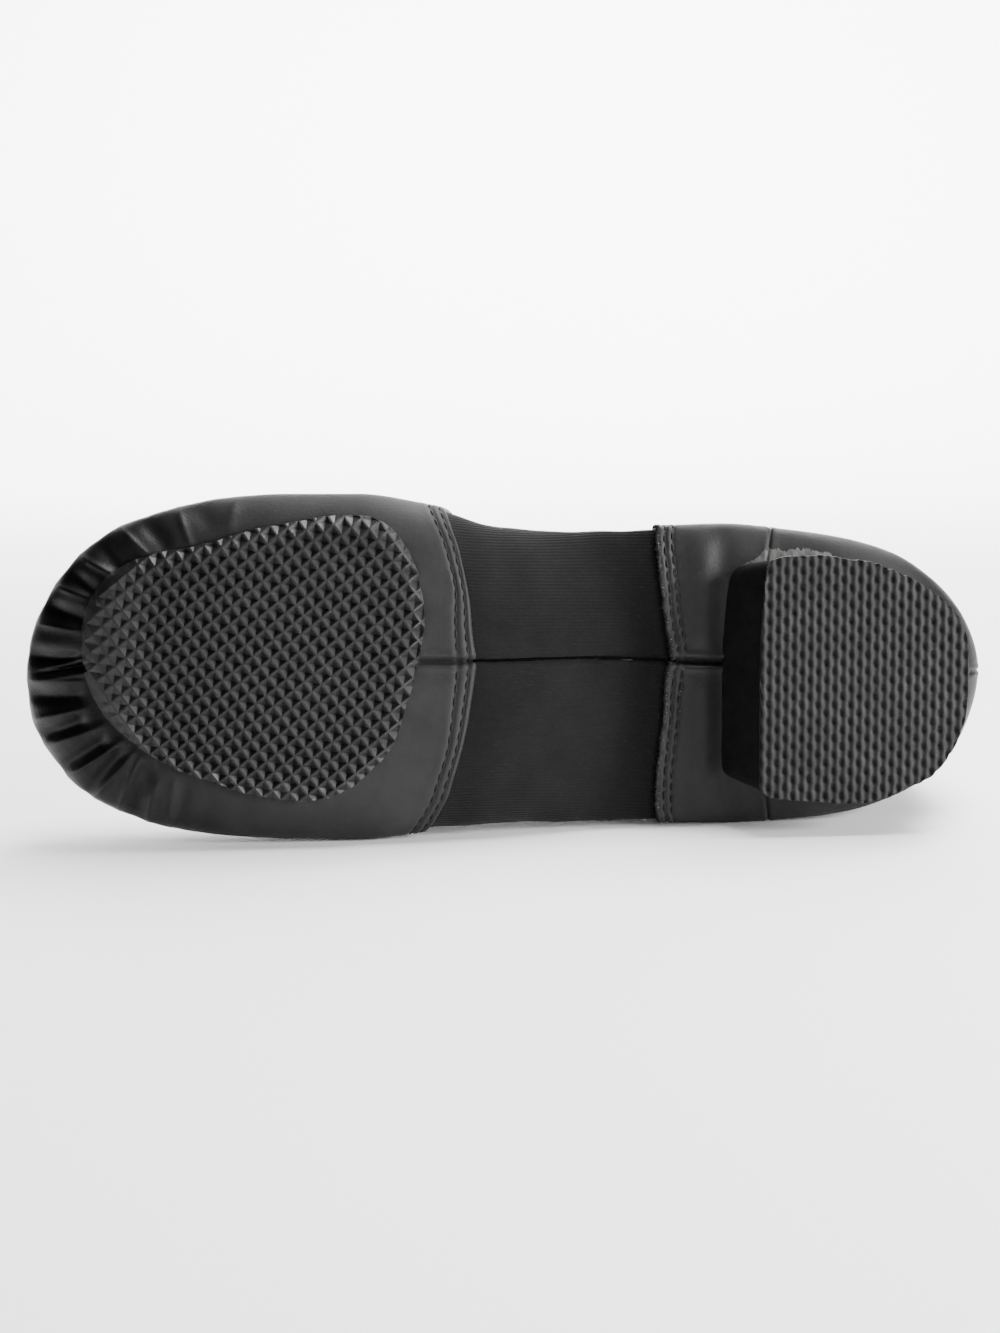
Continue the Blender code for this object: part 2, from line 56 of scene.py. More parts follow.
# The solids' sizes, in metres
LENGTH = 0.2378
BALL_WIDTH = 0.0858
INSTEP_HEIGHT = 0.065
BACK_HEIGHT = 0.075
HEEL_LIFT = 0.0118
TOE_SPRING = 0.0042
FABRIC = 0.0013
LEATHER_LAP = 0.0010
BINDING = 0.0004
BINDING_WIDTH = 0.0045
PATCH = 0.0024
TOP_PIECE = 0.0022
INSOLE = 0.0015
GAP = 0.0004
NOSE = 0.017
TIP_OFFSET = -0.0043
THROAT = 0.1125
COLLAR_BACK = 0.2335
COLLAR_WIDTH = 0.054
COLLAR_OFFSET = -0.0062
HEEL_FLARE = -0.070
BREAST_SLANT = 0.0098


def table(text):
    """A table's named columns, each as an array."""
    rows = [line.split() for line in text.strip().splitlines()]
    values = np.array(rows[1:], float)
    return {name: values[:, k] for k, name in enumerate(rows[0])}


def smooth(x, knots, values):
    """Value at x of a smooth curve through the knots that never overshoots them."""
    x = np.clip(np.asarray(x, float), knots[0], knots[-1])
    step = np.diff(knots)
    slope = np.diff(values) / step
    tangent = np.zeros(len(knots))
    same = slope[:-1] * slope[1:] > 0
    left = 2 * step[1:] + step[:-1]
    right = step[1:] + 2 * step[:-1]
    before = np.where(same, slope[:-1], 1.0)
    after = np.where(same, slope[1:], 1.0)
    inner = (left + right) / (left / before + right / after)
    tangent[1:-1] = np.where(same, inner, 0.0)
    tangent[0] = slope[0]
    tangent[-1] = slope[-1]
    k = np.clip(np.searchsorted(knots, x, side="right") - 1, 0, len(step) - 1)
    t = (x - knots[k]) / step[k]
    start = (1 + 2 * t) * (1 - t) ** 2 * values[k] + t * (1 - t) ** 2 * step[k] * tangent[k]
    end = t * t * (3 - 2 * t) * values[k + 1] + t * t * (t - 1) * step[k] * tangent[k + 1]
    return start + end


def read(columns, name, x):
    """Value at x of one of a table's columns, over its first column."""
    return smooth(x, next(iter(columns.values())), columns[name])


OUTLINE = table("""
turn   medial   lateral
0.00  -0.0501   0.0501
0.05   0.0600   0.1870
0.10   0.1720   0.2760
0.15   0.2790   0.3700
0.20   0.3620   0.4310
0.25   0.4120   0.4770
0.30   0.4470   0.5000
0.35   0.4590   0.5090
0.40   0.4590   0.5100
0.45   0.4260   0.4900
0.50   0.3690   0.4820
0.55   0.3580   0.4810
0.60   0.3640   0.4740
0.65   0.3700   0.4760
0.70   0.3530   0.4670
0.75   0.3280   0.4480
0.80   0.2860   0.4090
0.85   0.2150   0.3520
0.90   0.1300   0.2650
0.95   0.0360   0.1560
1.00  -0.0501   0.0501
""")

PROFILE = table("""
along   lift   spring  bulge   crown
0.000  0.000   1.000   0.125   0.345
0.060  0.000   0.380   0.122   0.410
0.110  0.000   0.080   0.120   0.440
0.160  0.000   0.000   0.118   0.462
0.220  0.000   0.000   0.115   0.500
0.300  0.000   0.000   0.110   0.580
0.360  0.000   0.000   0.110   0.690
0.415  0.000   0.000   0.125   0.845
0.470  0.020   0.000   0.150   1.000
0.520  0.180   0.000   0.165   1.050
0.590  0.580   0.000   0.100   1.080
0.660  0.880   0.000   0.056   1.110
0.720  1.000   0.000   0.048   1.150
0.780  1.020   0.000   0.052   1.190
0.860  0.980   0.000   0.074   1.220
0.930  1.060   0.000   0.120   1.240
1.000  1.250   0.000   0.185   1.250
""")

EDGE = table("""
turn   medial   lateral
0.00   0.165    0.165
0.15   0.160    0.180
0.30   0.150    0.200
0.42   0.150    0.210
0.50   0.300    0.330
0.58   0.300    0.330
0.66   0.170    0.180
0.80   0.150    0.150
1.00   0.130    0.130
""")

COLUMNS = table("""
turn   medial   lateral   seam    collar
0.000  0.0000   0.0000    0.085   0.000
0.150  0.1500   0.1500    0.120   0.045
0.300  0.3000   0.2990    0.250   0.095
0.457  0.4644   0.4501    0.474   0.170
0.598  0.5968   0.5988    0.668   0.443
0.720  0.7200   0.7200    0.780   0.640
0.850  0.8500   0.8500    0.880   0.820
1.000  1.0000   1.0000    0.950   1.000
""")

COLLAR = table("""
turn   medial   lateral   height
0.00   0.000    0.000     0.890
0.08   0.170    0.170     0.886
0.17   0.275    0.275     0.865
0.30   0.350    0.390     0.818
0.45   0.430    0.517     0.775
0.60   0.490    0.583     0.760
0.72   0.480    0.560     0.780
0.83   0.400    0.430     0.845
0.92   0.230    0.240     0.940
1.00   0.000    0.000     1.000
""")

SEAM = table("""
along  medial
0.00  -0.050
0.08  -0.012
0.16   0.000
0.47   0.000
0.60  -0.004
0.72  -0.016
0.86  -0.036
1.00  -0.050
""")

PATCH_OUTLINE = table("""
along  medial  lateral
0.066  0.060   0.000
0.069  0.140   0.050
0.084  0.215   0.135
0.105  0.268   0.203
0.126  0.293   0.250
0.155  0.313   0.300
0.187  0.329   0.332
0.226  0.360   0.370
0.260  0.382   0.391
0.290  0.398   0.400
0.313  0.410   0.392
0.339  0.415   0.363
0.361  0.410   0.308
0.385  0.370   0.232
0.395  0.330   0.135
0.404  0.297   0.058
0.411  0.221  -0.034
0.416  0.150  -0.090
""")

HEEL_OUTLINE = table("""
along  medial  lateral
0.7580 0.000   0.357
0.7600 0.140   0.365
0.7640 0.270   0.378
0.7680 0.288   0.382
0.7740 0.293   0.386
0.7850 0.297   0.389
0.8060 0.299   0.395
0.8250 0.298   0.397
0.8450 0.289   0.398
0.8650 0.283   0.397
0.8850 0.266   0.385
0.9050 0.240   0.358
0.9250 0.210   0.335
0.9450 0.166   0.284
0.9590 0.115   0.216
0.9660 0.066   0.150
0.9680 0.019   0.045
""")

# Where the leather edges cross each level of the shoe, as turns; the middle seam is level -1 and
# the collar is level 1
FRONT_EDGE = table("""
level  medial  lateral
-1.00  0.4525  0.4525
-0.90  0.4530  0.4550
-0.75  0.4542  0.4577
-0.59  0.4560  0.4600
-0.45  0.4568  0.4608
-0.32  0.4562  0.4608
-0.20  0.4535  0.4575
0.00   0.4510  0.4525
0.20   0.4530  0.4540
1.00   0.4570  0.4570
""")

REAR_EDGE = table("""
level  medial  lateral
-1.00  0.5998  0.5990
-0.90  0.6000  0.5967
-0.72  0.6000  0.5967
-0.50  0.5993  0.5983
-0.35  0.6000  0.5976
-0.20  0.6005  0.5992
0.00   0.6030  0.6030
0.20   0.6020  0.6020
1.00   0.5980  0.5980
""")

# Gathered pleats of the toe: where each runs, from the patch (inner turn, start level) out to the
# side (outer turn, end level), lateral turns below 0, with its height and width in millimetres
RIDGES = table("""
inner   start   outer   end     height  width
0.304  -0.30    0.310  -0.10    0.45    1.6
0.266  -0.37    0.263  -0.01    0.60    1.0
0.228  -0.41    0.206  -0.05    0.80    0.9
0.185  -0.40    0.155  -0.02    0.95    0.9
0.140  -0.37    0.115  -0.05    0.90    1.0
0.096  -0.42    0.068  -0.02    0.70    1.2
-0.028 -0.48   -0.006  -0.10    0.60    1.5
-0.088 -0.46   -0.046  -0.08    0.65    1.2
-0.136 -0.49   -0.085  -0.08    0.75    1.1
-0.173 -0.47   -0.133  -0.10    0.85    1.0
-0.194 -0.44   -0.171  -0.10    0.80    0.9
-0.206 -0.42   -0.200  -0.10    0.80    0.9
-0.231 -0.34   -0.230  -0.02    0.95    0.8
-0.247 -0.38   -0.251  -0.02    0.45    0.8
""")

TROUGHS = table("""
inner   start   outer   end     height  width
0.285  -0.28    0.278  -0.02    0.45    2.2
0.242  -0.33    0.231  -0.06    0.90    2.0
0.193  -0.36    0.181  -0.03    1.20    2.2
0.149  -0.36    0.135  -0.02    1.20    2.0
0.110  -0.38    0.091  -0.06    1.25    1.9
0.031  -0.44    0.026  -0.08    1.40    1.8
-0.058 -0.48   -0.021  -0.12    1.00    1.8
-0.105 -0.42   -0.070  -0.06    1.30    1.7
-0.151 -0.44   -0.119  -0.05    1.30    1.6
-0.182 -0.43   -0.159  -0.03    1.20    1.5
-0.217 -0.41   -0.216  -0.08    1.20    1.7
-0.258 -0.38   -0.258  -0.04    0.60    1.5
-0.281 -0.32   -0.280  -0.03    0.35    2.2
""")

# Seams and surfaces, in metres
RIB_PITCH = 0.00085
STITCH_PITCH = 0.00315
STITCH_LENGTH = 0.00225
FRONT_ROWS = (0.0016, 0.0042)
REAR_ROWS = (0.0020, 0.0039)
ROW_WIDTH = 0.00042
TREAD_PITCH = 0.00315
TREAD_ANGLES = (-51.4, 36.0)
PIT_DEPTH = 0.00135
BAR_PITCH = 0.00198
BAR_ROW_PITCH = 0.00203

# The camera, in shoe coordinates
CAMERA_ALONG = 0.1171
CAMERA_MEDIAL = -0.00097
CAMERA_AWAY = 0.65
CAMERA_TILT = np.radians(5.3)
CAMERA_LENS = 96.88

SIDES = {"medial": 1.0, "lateral": -1.0}
LEAN = {"medial": 2.6, "lateral": 0.9}
INNER_LENGTH = LENGTH - 2 * LEATHER_LAP


def ease(x):
    x = np.clip(x, 0.0, 1.0)
    return x * x * (3 - 2 * x)


def bump(x, width):
    return np.exp(-((x / width) ** 2))


def unit(vectors, least=1e-12):
    """Vectors brought to length one."""
    return vectors / np.maximum(np.linalg.norm(vectors, axis=-1, keepdims=True), least)


def from_turn(turn):
    return LEATHER_LAP + INNER_LENGTH * (1 - np.cos(np.pi * turn)) / 2


def to_turn(along):
    share = np.clip((along - LEATHER_LAP) / INNER_LENGTH, 0.0, 1.0)
    return np.arccos(1 - 2 * share) / np.pi


def edge_out(turn, side):
    return SIDES[side] * BALL_WIDTH * read(OUTLINE, side, turn)


def profile(name, along):
    return read(PROFILE, name, along / LENGTH)


def under(along):
    base = PATCH + GAP + LEATHER_LAP
    return base + HEEL_LIFT * profile("lift", along) + TOE_SPRING * profile("spring", along)


def bulge(along):
    return under(along) + INSTEP_HEIGHT * profile("bulge", along)


def crown(along):
    low = bulge(along)
    back = np.clip(1 - along / NOSE, 0.0, 1.0)
    nose = (1 - back**2.2) ** (1 / 2.2)
    return low + (INSTEP_HEIGHT * profile("crown", along) - low) * nose


def seam_line(along):
    return BALL_WIDTH * read(SEAM, "medial", along / LENGTH)


def over(along, medial):
    turn = to_turn(along)
    inside = edge_out(turn, "medial")
    outside = edge_out(turn, "lateral")
    middle = (inside + outside) / 2
    half = np.maximum((inside - outside) / 2, 1e-6)
    share = np.clip(np.abs(medial - middle) / half, 0.0, 1.0)
    low = bulge(along)
    return low + (crown(along) - low) * (1 - share**2.25) ** (1 / 2.25)


def column(name, turn):
    return read(COLUMNS, name, turn)


def collar_point(turn, side):
    along = THROAT + (COLLAR_BACK - THROAT) * (1 - np.cos(np.pi * turn)) / 2
    out = SIDES[side] * COLLAR_WIDTH * read(COLLAR, side, turn)
    start = ease(turn / 0.35)
    middle = TIP_OFFSET + (COLLAR_OFFSET - TIP_OFFSET) * start
    middle = middle + (TIP_OFFSET - COLLAR_OFFSET) * ease((turn - 0.75) / 0.25)
    height = BACK_HEIGHT * read(COLLAR, "height", turn)
    return along, height, middle + out


def low_point(turn, side, level):
    place = column(side, turn)
    start = from_turn(place)
    start_out = edge_out(place, side)
    end = LENGTH * column("seam", turn)
    end_out = seam_line(end)
    run = np.hypot(end - start, end_out - start_out)
    radius = BALL_WIDTH * read(EDGE, side, place)
    radius = np.minimum(radius, 0.85 * run)
    angle = np.pi / 2 * np.clip(level / 0.5, 0.0, 1.0)
    inward = radius * (1 - np.cos(angle)) + (run - radius) * np.clip(level / 0.5 - 1, 0.0, 1.0)
    share = inward / run
    along = start + (end - start) * share
    medial = start_out + (end_out - start_out) * share
    height = bulge(start) + (under(along) - bulge(start)) * np.sin(angle) ** 1.1
    return along, height, medial


def high_point(turn, side, level):
    place = column(side, turn)
    start = from_turn(place)
    start_out = edge_out(place, side)
    low = bulge(start)
    end, end_height, end_out = collar_point(column("collar", turn), side)
    share = 1 - np.cos(np.pi / 2 * level)
    along = start + (end - start) * share
    medial = start_out + (end_out - start_out) * share
    height = over(along, medial)
    height = height + (end_height - over(end, end_out)) * share**2
    side_along = start + (end - start) * level**2.6
    side_medial = start_out + (end_out - start_out) * level ** LEAN[side]
    side_height = low + (end_height - low) * level
    blend = ease((turn - 0.40) / 0.26)
    along = along + (side_along - along) * blend
    medial = medial + (side_medial - medial) * blend
    height = height + (side_height - height) * blend
    return along, height, medial


def base_point(turn, side, level):
    """Point of the fabric's outer face, from the middle seam (level -1) to the collar (level 1)."""
    turn, level = np.broadcast_arrays(turn, level)
    low = low_point(turn, side, np.maximum(-level, 0.0))
    high = high_point(turn, side, np.maximum(level, 0.0))
    return np.stack([np.where(level < 0, a, b) for a, b in zip(low, high)], axis=-1)


def base_normal(turn, side, level):
    """Outward direction of the fabric's outer face."""
    turn, level = np.broadcast_arrays(np.asarray(turn, float), np.asarray(level, float))
    step = 0.002
    after = base_point(np.minimum(turn + step, 1.0), side, level)
    before = base_point(np.maximum(turn - step, 0.0), side, level)
    above = base_point(turn, side, np.minimum(level + step, 1.0))
    below = base_point(turn, side, np.maximum(level - step, -1.0))
    return unit(np.cross(after - before, above - below) * SIDES[side])


def grid_normals(points):
    """Outward-pointing unit directions of a grid of points (columns, rows), by its own slopes."""
    return unit(np.cross(np.gradient(points, axis=0), np.gradient(points, axis=1)))


def lay(points):
    """Shoe coordinates to the row frame."""
    return points @ TURN.T - ORIGIN


# ---- mesh helpers
def put(name, data):
    """A new object in the scene."""
    thing = bpy.data.objects.new(name, data)
    bpy.context.collection.objects.link(thing)
    return thing


def new_mesh(name, points, faces):
    mesh = bpy.data.meshes.new(name)
    mesh.from_pydata(np.asarray(points).tolist(), [], [list(f) for f in faces])
    return mesh


def contents(mesh):
    """Points and faces of a mesh."""
    points = np.array([v.co for v in mesh.vertices])
    return points, [list(p.vertices) for p in mesh.polygons]


def make(name, points, faces, uv=None, smooth_angle=None, merge=None):
    """A mesh object from points in shoe coordinates."""
    mesh = new_mesh(name, lay(np.asarray(points)), faces)
    if uv is not None:
        layer = mesh.uv_layers.new(name="UVMap")
        index = np.empty(len(mesh.loops), int)
        mesh.loops.foreach_get("vertex_index", index)
        layer.data.foreach_set("uv", np.asarray(uv, np.float32)[index].ravel())
    if merge:
        work = bmesh.new()
        work.from_mesh(mesh)
        bmesh.ops.remove_doubles(work, verts=work.verts, dist=merge)
        work.to_mesh(mesh)
        work.free()
    mesh.shade_smooth()
    if smooth_angle:
        mesh.set_sharp_from_angle(angle=np.radians(smooth_angle))
    return put(name, mesh)


def grid_faces(columns, rows, closed=False, offset=0):
    count = columns if closed else columns - 1
    c, r = np.meshgrid(np.arange(count), np.arange(rows - 1), indexing="ij")
    c = c.ravel()
    r = r.ravel()
    here = c * rows + r
    following = (c + 1) % columns * rows + r
    return np.stack([here, following, following + 1, here + 1], axis=1) + offset


def grid_uv(points):
    """Lengths along the two ways of a grid, in metres."""
    wide = np.linalg.norm(np.diff(points, axis=0), axis=-1)
    high = np.linalg.norm(np.diff(points, axis=1), axis=-1)
    u = np.concatenate([np.zeros((1, points.shape[1])), np.cumsum(wide, axis=0)], axis=0)
    v = np.concatenate([np.zeros((points.shape[0], 1)), np.cumsum(high, axis=1)], axis=1)
    return np.stack([u, v], axis=-1).reshape(-1, 2)


def tree_of(thing):
    """Search tree over an object's faces, in the row frame."""
    places = [v.co.copy() for v in thing.data.vertices]
    return BVHTree.FromPolygons(places, [tuple(p.vertices) for p in thing.data.polygons])


def edit(mesh, *steps):
    """Changes a mesh step by step, then turns its faces outward."""
    work = bmesh.new()
    work.from_mesh(mesh)
    for step in steps:
        step(work)
    bmesh.ops.recalc_face_normals(work, faces=work.faces)
    work.to_mesh(mesh)
    work.free()
    return mesh


def close_rim(work, height, rim_height=None):
    """Draws the open rim out to one height and fills it; rim_height moves the rim itself first."""
    rim = [e for e in work.edges if e.is_boundary]
    if rim_height is not None:
        for v in {v for e in rim for v in e.verts}:
            v.co.y = rim_height
    grown = bmesh.ops.extrude_edge_only(work, edges=rim)["geom"]
    for v in (g for g in grown if isinstance(g, bmesh.types.BMVert)):
        v.co.y = height
    outer = [g for g in grown if isinstance(g, bmesh.types.BMEdge) and g.is_boundary]
    bmesh.ops.edgeloop_fill(work, edges=outer)


def tube(path, across, normal, thick, start=0):
    """Points and faces of a tube with open ends: thick holds its radius at each ring's corners."""
    sides = thick.shape[1]
    angle = np.linspace(0, 2 * np.pi, sides, endpoint=False)[:, None]
    ring = across[..., None, :] * np.cos(angle) + normal[..., None, :] * np.sin(angle)
    points = path[:, None] + ring * thick[..., None]
    faces = (grid_faces(len(path), sides) + start).tolist()
    for low in range(start, start + (len(path) - 1) * sides, sides):
        faces.append([low + sides - 1, low + 2 * sides - 1, low + sides, low])
    return points.reshape(-1, 3), faces


def loop_from(rows, count):
    """Closed loop of plan points from an outline table, evenly spaced, as (along, medial)."""
    along = LENGTH * rows["along"]
    first = np.stack([along, BALL_WIDTH * rows["medial"]], axis=1)
    second = np.stack([along, -BALL_WIDTH * rows["lateral"]], axis=1)[::-1]
    loop = np.concatenate([first, second])
    closed = np.concatenate([loop, loop[:1]])
    distance = np.concatenate([[0], np.cumsum(np.linalg.norm(np.diff(closed, axis=0), axis=1))])
    size = distance[-1]
    padded_distance = np.concatenate([distance[:-1] - size, distance, distance[1:] + size])
    padded = np.concatenate([loop, closed, closed[1:]])
    where = size * np.arange(count) / count
    return np.stack([smooth(where, padded_distance, padded[:, k]) for k in range(2)], axis=1)


def round_off(loop, times):
    for _ in range(times):
        loop = (np.roll(loop, 1, axis=0) + 2 * loop + np.roll(loop, -1, axis=0)) / 4
    return loop


def loop_distance(points, loop):
    """Distance of plan points from a closed loop, below zero inside it."""
    best = np.full(len(points), 1e9)
    inside = np.zeros(len(points), bool)
    for a, b in zip(loop, np.roll(loop, -1, axis=0)):
        edge = b - a
        share = np.clip(((points - a) @ edge) / (edge @ edge), 0, 1)
        best = np.minimum(best, np.linalg.norm(points - a - share[:, None] * edge, axis=1))
        cross = (a[1] > points[:, 1]) != (b[1] > points[:, 1])
        rise = b[1] - a[1] if b[1] != a[1] else 1e-12
        inside ^= cross & (points[:, 0] < a[0] + (points[:, 1] - a[1]) * edge[0] / rise)
    return np.where(inside, -best, best)


patch_loop = round_off(loop_from(PATCH_OUTLINE, 240), 12)


def heel_loop(grow, slant, count=176):
    """Plan loop of the heel, grown about its middle, its breast moved forward by slant."""
    loop = round_off(loop_from(HEEL_OUTLINE, count), 6)
    middle = loop.mean(axis=0)
    front = loop[:, 0].min()
    depth = loop[:, 0].max() - front
    ahead = np.clip((front + 0.35 * depth - loop[:, 0]) / (0.35 * depth), 0.0, 1.0)
    grown = middle + (loop - middle) * (1 + grow)
    grown[:, 0] -= slant * ahead
    return grown


def front_edge(side, level):
    return read(FRONT_EDGE, side, level)


def rear_edge(side, level):
    return read(REAR_EDGE, side, level)


def turn_scale(side, turn, level):
    """Metres along the surface for one turn."""
    step = 0.002
    run = base_point(turn + step, side, level) - base_point(turn - step, side, level)
    return np.linalg.norm(run, axis=-1) / (2 * step)


def rim_level(turn, side):
    """Level where the collar's binding begins."""
    along, height, medial = collar_point(column("collar", turn), side)
    start = from_turn(column(side, turn))
    run = np.maximum(np.hypot(along - start, height - bulge(start)), 0.030)
    return 1 - BINDING_WIDTH / np.where(turn < 0.45, run * 1.57, run)


def up_to_rim(level, turn, side):
    """Levels whose top row, 0.97, is drawn to end under the collar's binding."""
    limit = rim_level(np.array([turn]), side)[0] + 0.02
    return np.where(level > 0, level * limit / 0.97, level)


LOW_LEVELS = np.concatenate(
    [
        -1 + np.array([0, 0.006, 0.012, 0.019, 0.027, 0.036, 0.047, 0.062, 0.082]),
        np.linspace(-0.89, -0.5, 17),
    ]
)


def sheet_levels(middle, high):
    """Rows of a sheet, from the middle seam over the outline to the rim."""
    return np.concatenate([LOW_LEVELS, np.linspace(-0.5, 0, middle)[1:], high[1:]])


def beside_edge(which, side, level, inset, height):
    """Places and outward directions beside a leather edge, at a height off the fabric."""
    edge = which(side, level)
    turn = edge + inset / turn_scale(side, edge, level)
    normal = base_normal(turn, side, level)
    return base_point(turn, side, level) + normal * height, normal


# ---- leather pieces
def plan(points):
    return np.stack([points[..., 0], points[..., 2]], axis=-1)


def pleat_lines(rows, sign):
    lines = []
    for inner, inner_level, outer, outer_level, height, width in zip(*rows.values()):
        ends = []
        for turn, level in ((inner, inner_level), (outer, outer_level)):
            side = "medial" if turn >= 0 else "lateral"
            ends.append(plan(base_point(abs(turn), side, level)))
        lines.append((ends[0], ends[1], sign * height * 0.001, width * 0.001))
    return lines


def pleats(points, level):
    """How far the gathered toe stands out or in."""
    flat = plan(points).reshape(-1, 2)
    total = np.zeros(len(flat))
    for start, end, height, width in pleat_lines(RIDGES, 1.0) + pleat_lines(TROUGHS, -1.0):
        run = end - start
        size = np.linalg.norm(run)
        way = run / size
        offset = flat - start
        forward = offset @ way
        across = offset @ np.array([-way[1], way[0]])
        fade = ease((forward + 0.004) / 0.004) * (1 - ease((forward - size - 0.0015) / 0.006))
        if height > 0:
            shape = np.exp(-(np.abs(across / (0.85 * width)) ** 1.4))
        else:
            shape = 1.25 * bump(across, 1.12 * width)
        total += height * shape * fade
    total = total.reshape(level.shape)
    total *= 1 - 0.88 * ease((level + 0.27) / 0.22)
    total *= 1 - ease((level - 0.02) / 0.2)
    apart = loop_distance(flat, patch_loop).reshape(level.shape)
    total *= ease((apart + 0.0012) / 0.0016)
    return total


def rolled(distance, width):
    """Leather's outward step near its edge, from 0 at the edge to 1 at width inside it."""
    x = np.clip(distance / width, 0, 1)
    return np.sqrt(np.maximum(1 - (1 - x) ** 2, 0))


def seam_normal(normal, level):
    """Both halves of the sheet are moved the same way where they meet under the foot."""
    turned = normal.copy()
    turned[..., 2] *= ease((np.broadcast_to(level, normal.shape[:2]) + 0.998) / 0.05)
    return unit(turned, 1e-6)


def seam_groove(points, level, lips=0.00045, depth=0.0014, width=0.00066):
    """Sunk middle seam with raised lips, as an offset, pressed flat by the patch."""
    apart = np.abs(points[..., 2] - seam_line(points[..., 0]))
    clear = loop_distance(plan(points).reshape(-1, 2), patch_loop).reshape(apart.shape)
    shown = ease((clear + 0.0010) / 0.0012) * (1 - ease((level + 0.45) / 0.3))
    return shown * (lips * bump(apart - 0.0017, 0.0007) - depth * bump(apart, width))


def make_forefoot():
    """Leather of the toe and ball, one sheet from the middle seam round the toe to the throat."""
    near = np.array([-3, 0, 1, 2.5, 5, 8, 12, 16, 20, 25, 30, 36, 42, 47, 53, 60]) * 0.0001
    share = np.concatenate([np.linspace(0, 0.62, 150), np.linspace(0.62, 0.985, 60)[1:]])
    high = np.concatenate([np.linspace(0, 0.3, 26), np.linspace(0.3, 0.97, 34)[1:]])
    level = sheet_levels(40, high)
    sides = {}
    for side in ("lateral", "medial"):
        rows = up_to_rim(level, 0.2, side)
        edge = front_edge(side, rows)
        scale = turn_scale(side, edge, rows)
        last = edge - near[-1] / scale
        turn = share[:, None] * last[None, :] / share[-1]
        close = edge[None, :] - near[::-1][1:, None] / scale[None, :]
        turn = np.concatenate([turn, close])
        rows = np.broadcast_to(rows, turn.shape)
        points = base_point(turn, side, rows)
        apart = (edge[None, :] - turn) * scale[None, :]
        sides[side] = (points, rows, apart)
    halves = zip(sides["lateral"], sides["medial"])
    points, rows, apart = (np.concatenate([a[::-1], b[1:]]) for a, b in halves)
    normal = seam_normal(grid_normals(points), rows)
    out = LEATHER_LAP * rolled(apart + 0.0001, 0.0009)
    for inset in FRONT_ROWS:
        out -= 0.00038 * bump(apart - inset, ROW_WIDTH)
    out += 0.00014 * bump(apart - 0.0029, 0.0006) + 0.00010 * bump(apart - 0.0058, 0.0009)
    out += np.where(apart < 0, -0.0004, 0.0)
    out += pleats(points, rows) + seam_groove(points, rows)
    return points + normal * out[..., None]


def strip(name, points, flip=False, merge=None):
    """One sheet from a grid of points."""
    faces = grid_faces(*points.shape[:2])
    if flip:
        faces = faces[:, ::-1]
    return make(name, points.reshape(-1, 3), faces.tolist(), uv=grid_uv(points), merge=merge)


def whole_grid(turn, level):
    """Grid over both sides of the shoe, joined at the toe, and its directions."""
    turn, level = np.meshgrid(turn, level, indexing="ij")
    outside, inside = (base_point(turn, side, level) for side in ("lateral", "medial"))
    points = np.concatenate([outside[::-1], inside[1:]])
    return points, grid_normals(points)


def both_sides(name, halves):
    """One object from a lateral and a medial grid, each running away from the toe."""
    points = []
    faces = []
    uv = []
    offset = 0
    for side, grid in halves.items():
        if side == "lateral":
            grid = grid[::-1]
        points.append(grid.reshape(-1, 3))
        faces += grid_faces(*grid.shape[:2], offset=offset).tolist()
        uv.append(grid_uv(grid))
        offset += grid.shape[0] * grid.shape[1]
    return make(name, np.concatenate(points), faces, uv=np.concatenate(uv))


def make_fabric():
    """Stretch sleeve round the arch, lapped by the leather at both ends."""
    share = np.linspace(0, 1, 72)
    high = np.linspace(0, 0.97, 50)
    level = sheet_levels(30, high)
    halves = {}
    for side in SIDES:
        rows = up_to_rim(level, 0.5, side)
        first = front_edge(side, rows)
        last = rear_edge(side, rows)
        first = first - 0.0016 / turn_scale(side, first, rows)
        last = last + 0.0016 / turn_scale(side, last, rows)
        turn = first[None, :] + share[:, None] * (last - first)[None, :]
        rows = np.broadcast_to(rows, turn.shape)
        points = base_point(turn, side, rows)
        normal = seam_normal(base_normal(turn, side, rows), rows)
        out = seam_groove(points, rows, lips=0.00010, depth=0.0005, width=0.0006)
        along = points[..., 0]
        drawn = np.sin(along * 310 + 2.0 * np.sin(points[..., 2] * 60))
        drawn = drawn + 0.6 * np.sin(along * 530 + rows * 9 + 1)
        out = out + 0.00010 * drawn * ease((rows + 0.5) / 0.3)
        out = out * ease(share[:, None] / 0.08) * ease((1 - share[:, None]) / 0.08)
        out = out - 0.0011 * bump(share[:, None] - 0.74, 0.13) * ease((-0.1 - rows) / 0.3)
        halves[side] = points + normal * out[..., None]
    return both_sides("arch_fabric", halves)


SIDE_SEAM = {"medial": 0.6865, "lateral": 0.6855}
REAR_STEPS = np.array([-3, 0, 1, 2.5, 5, 8, 12, 16, 20, 24, 29, 34, 39, 44, 50, 58, 68]) * 0.0001


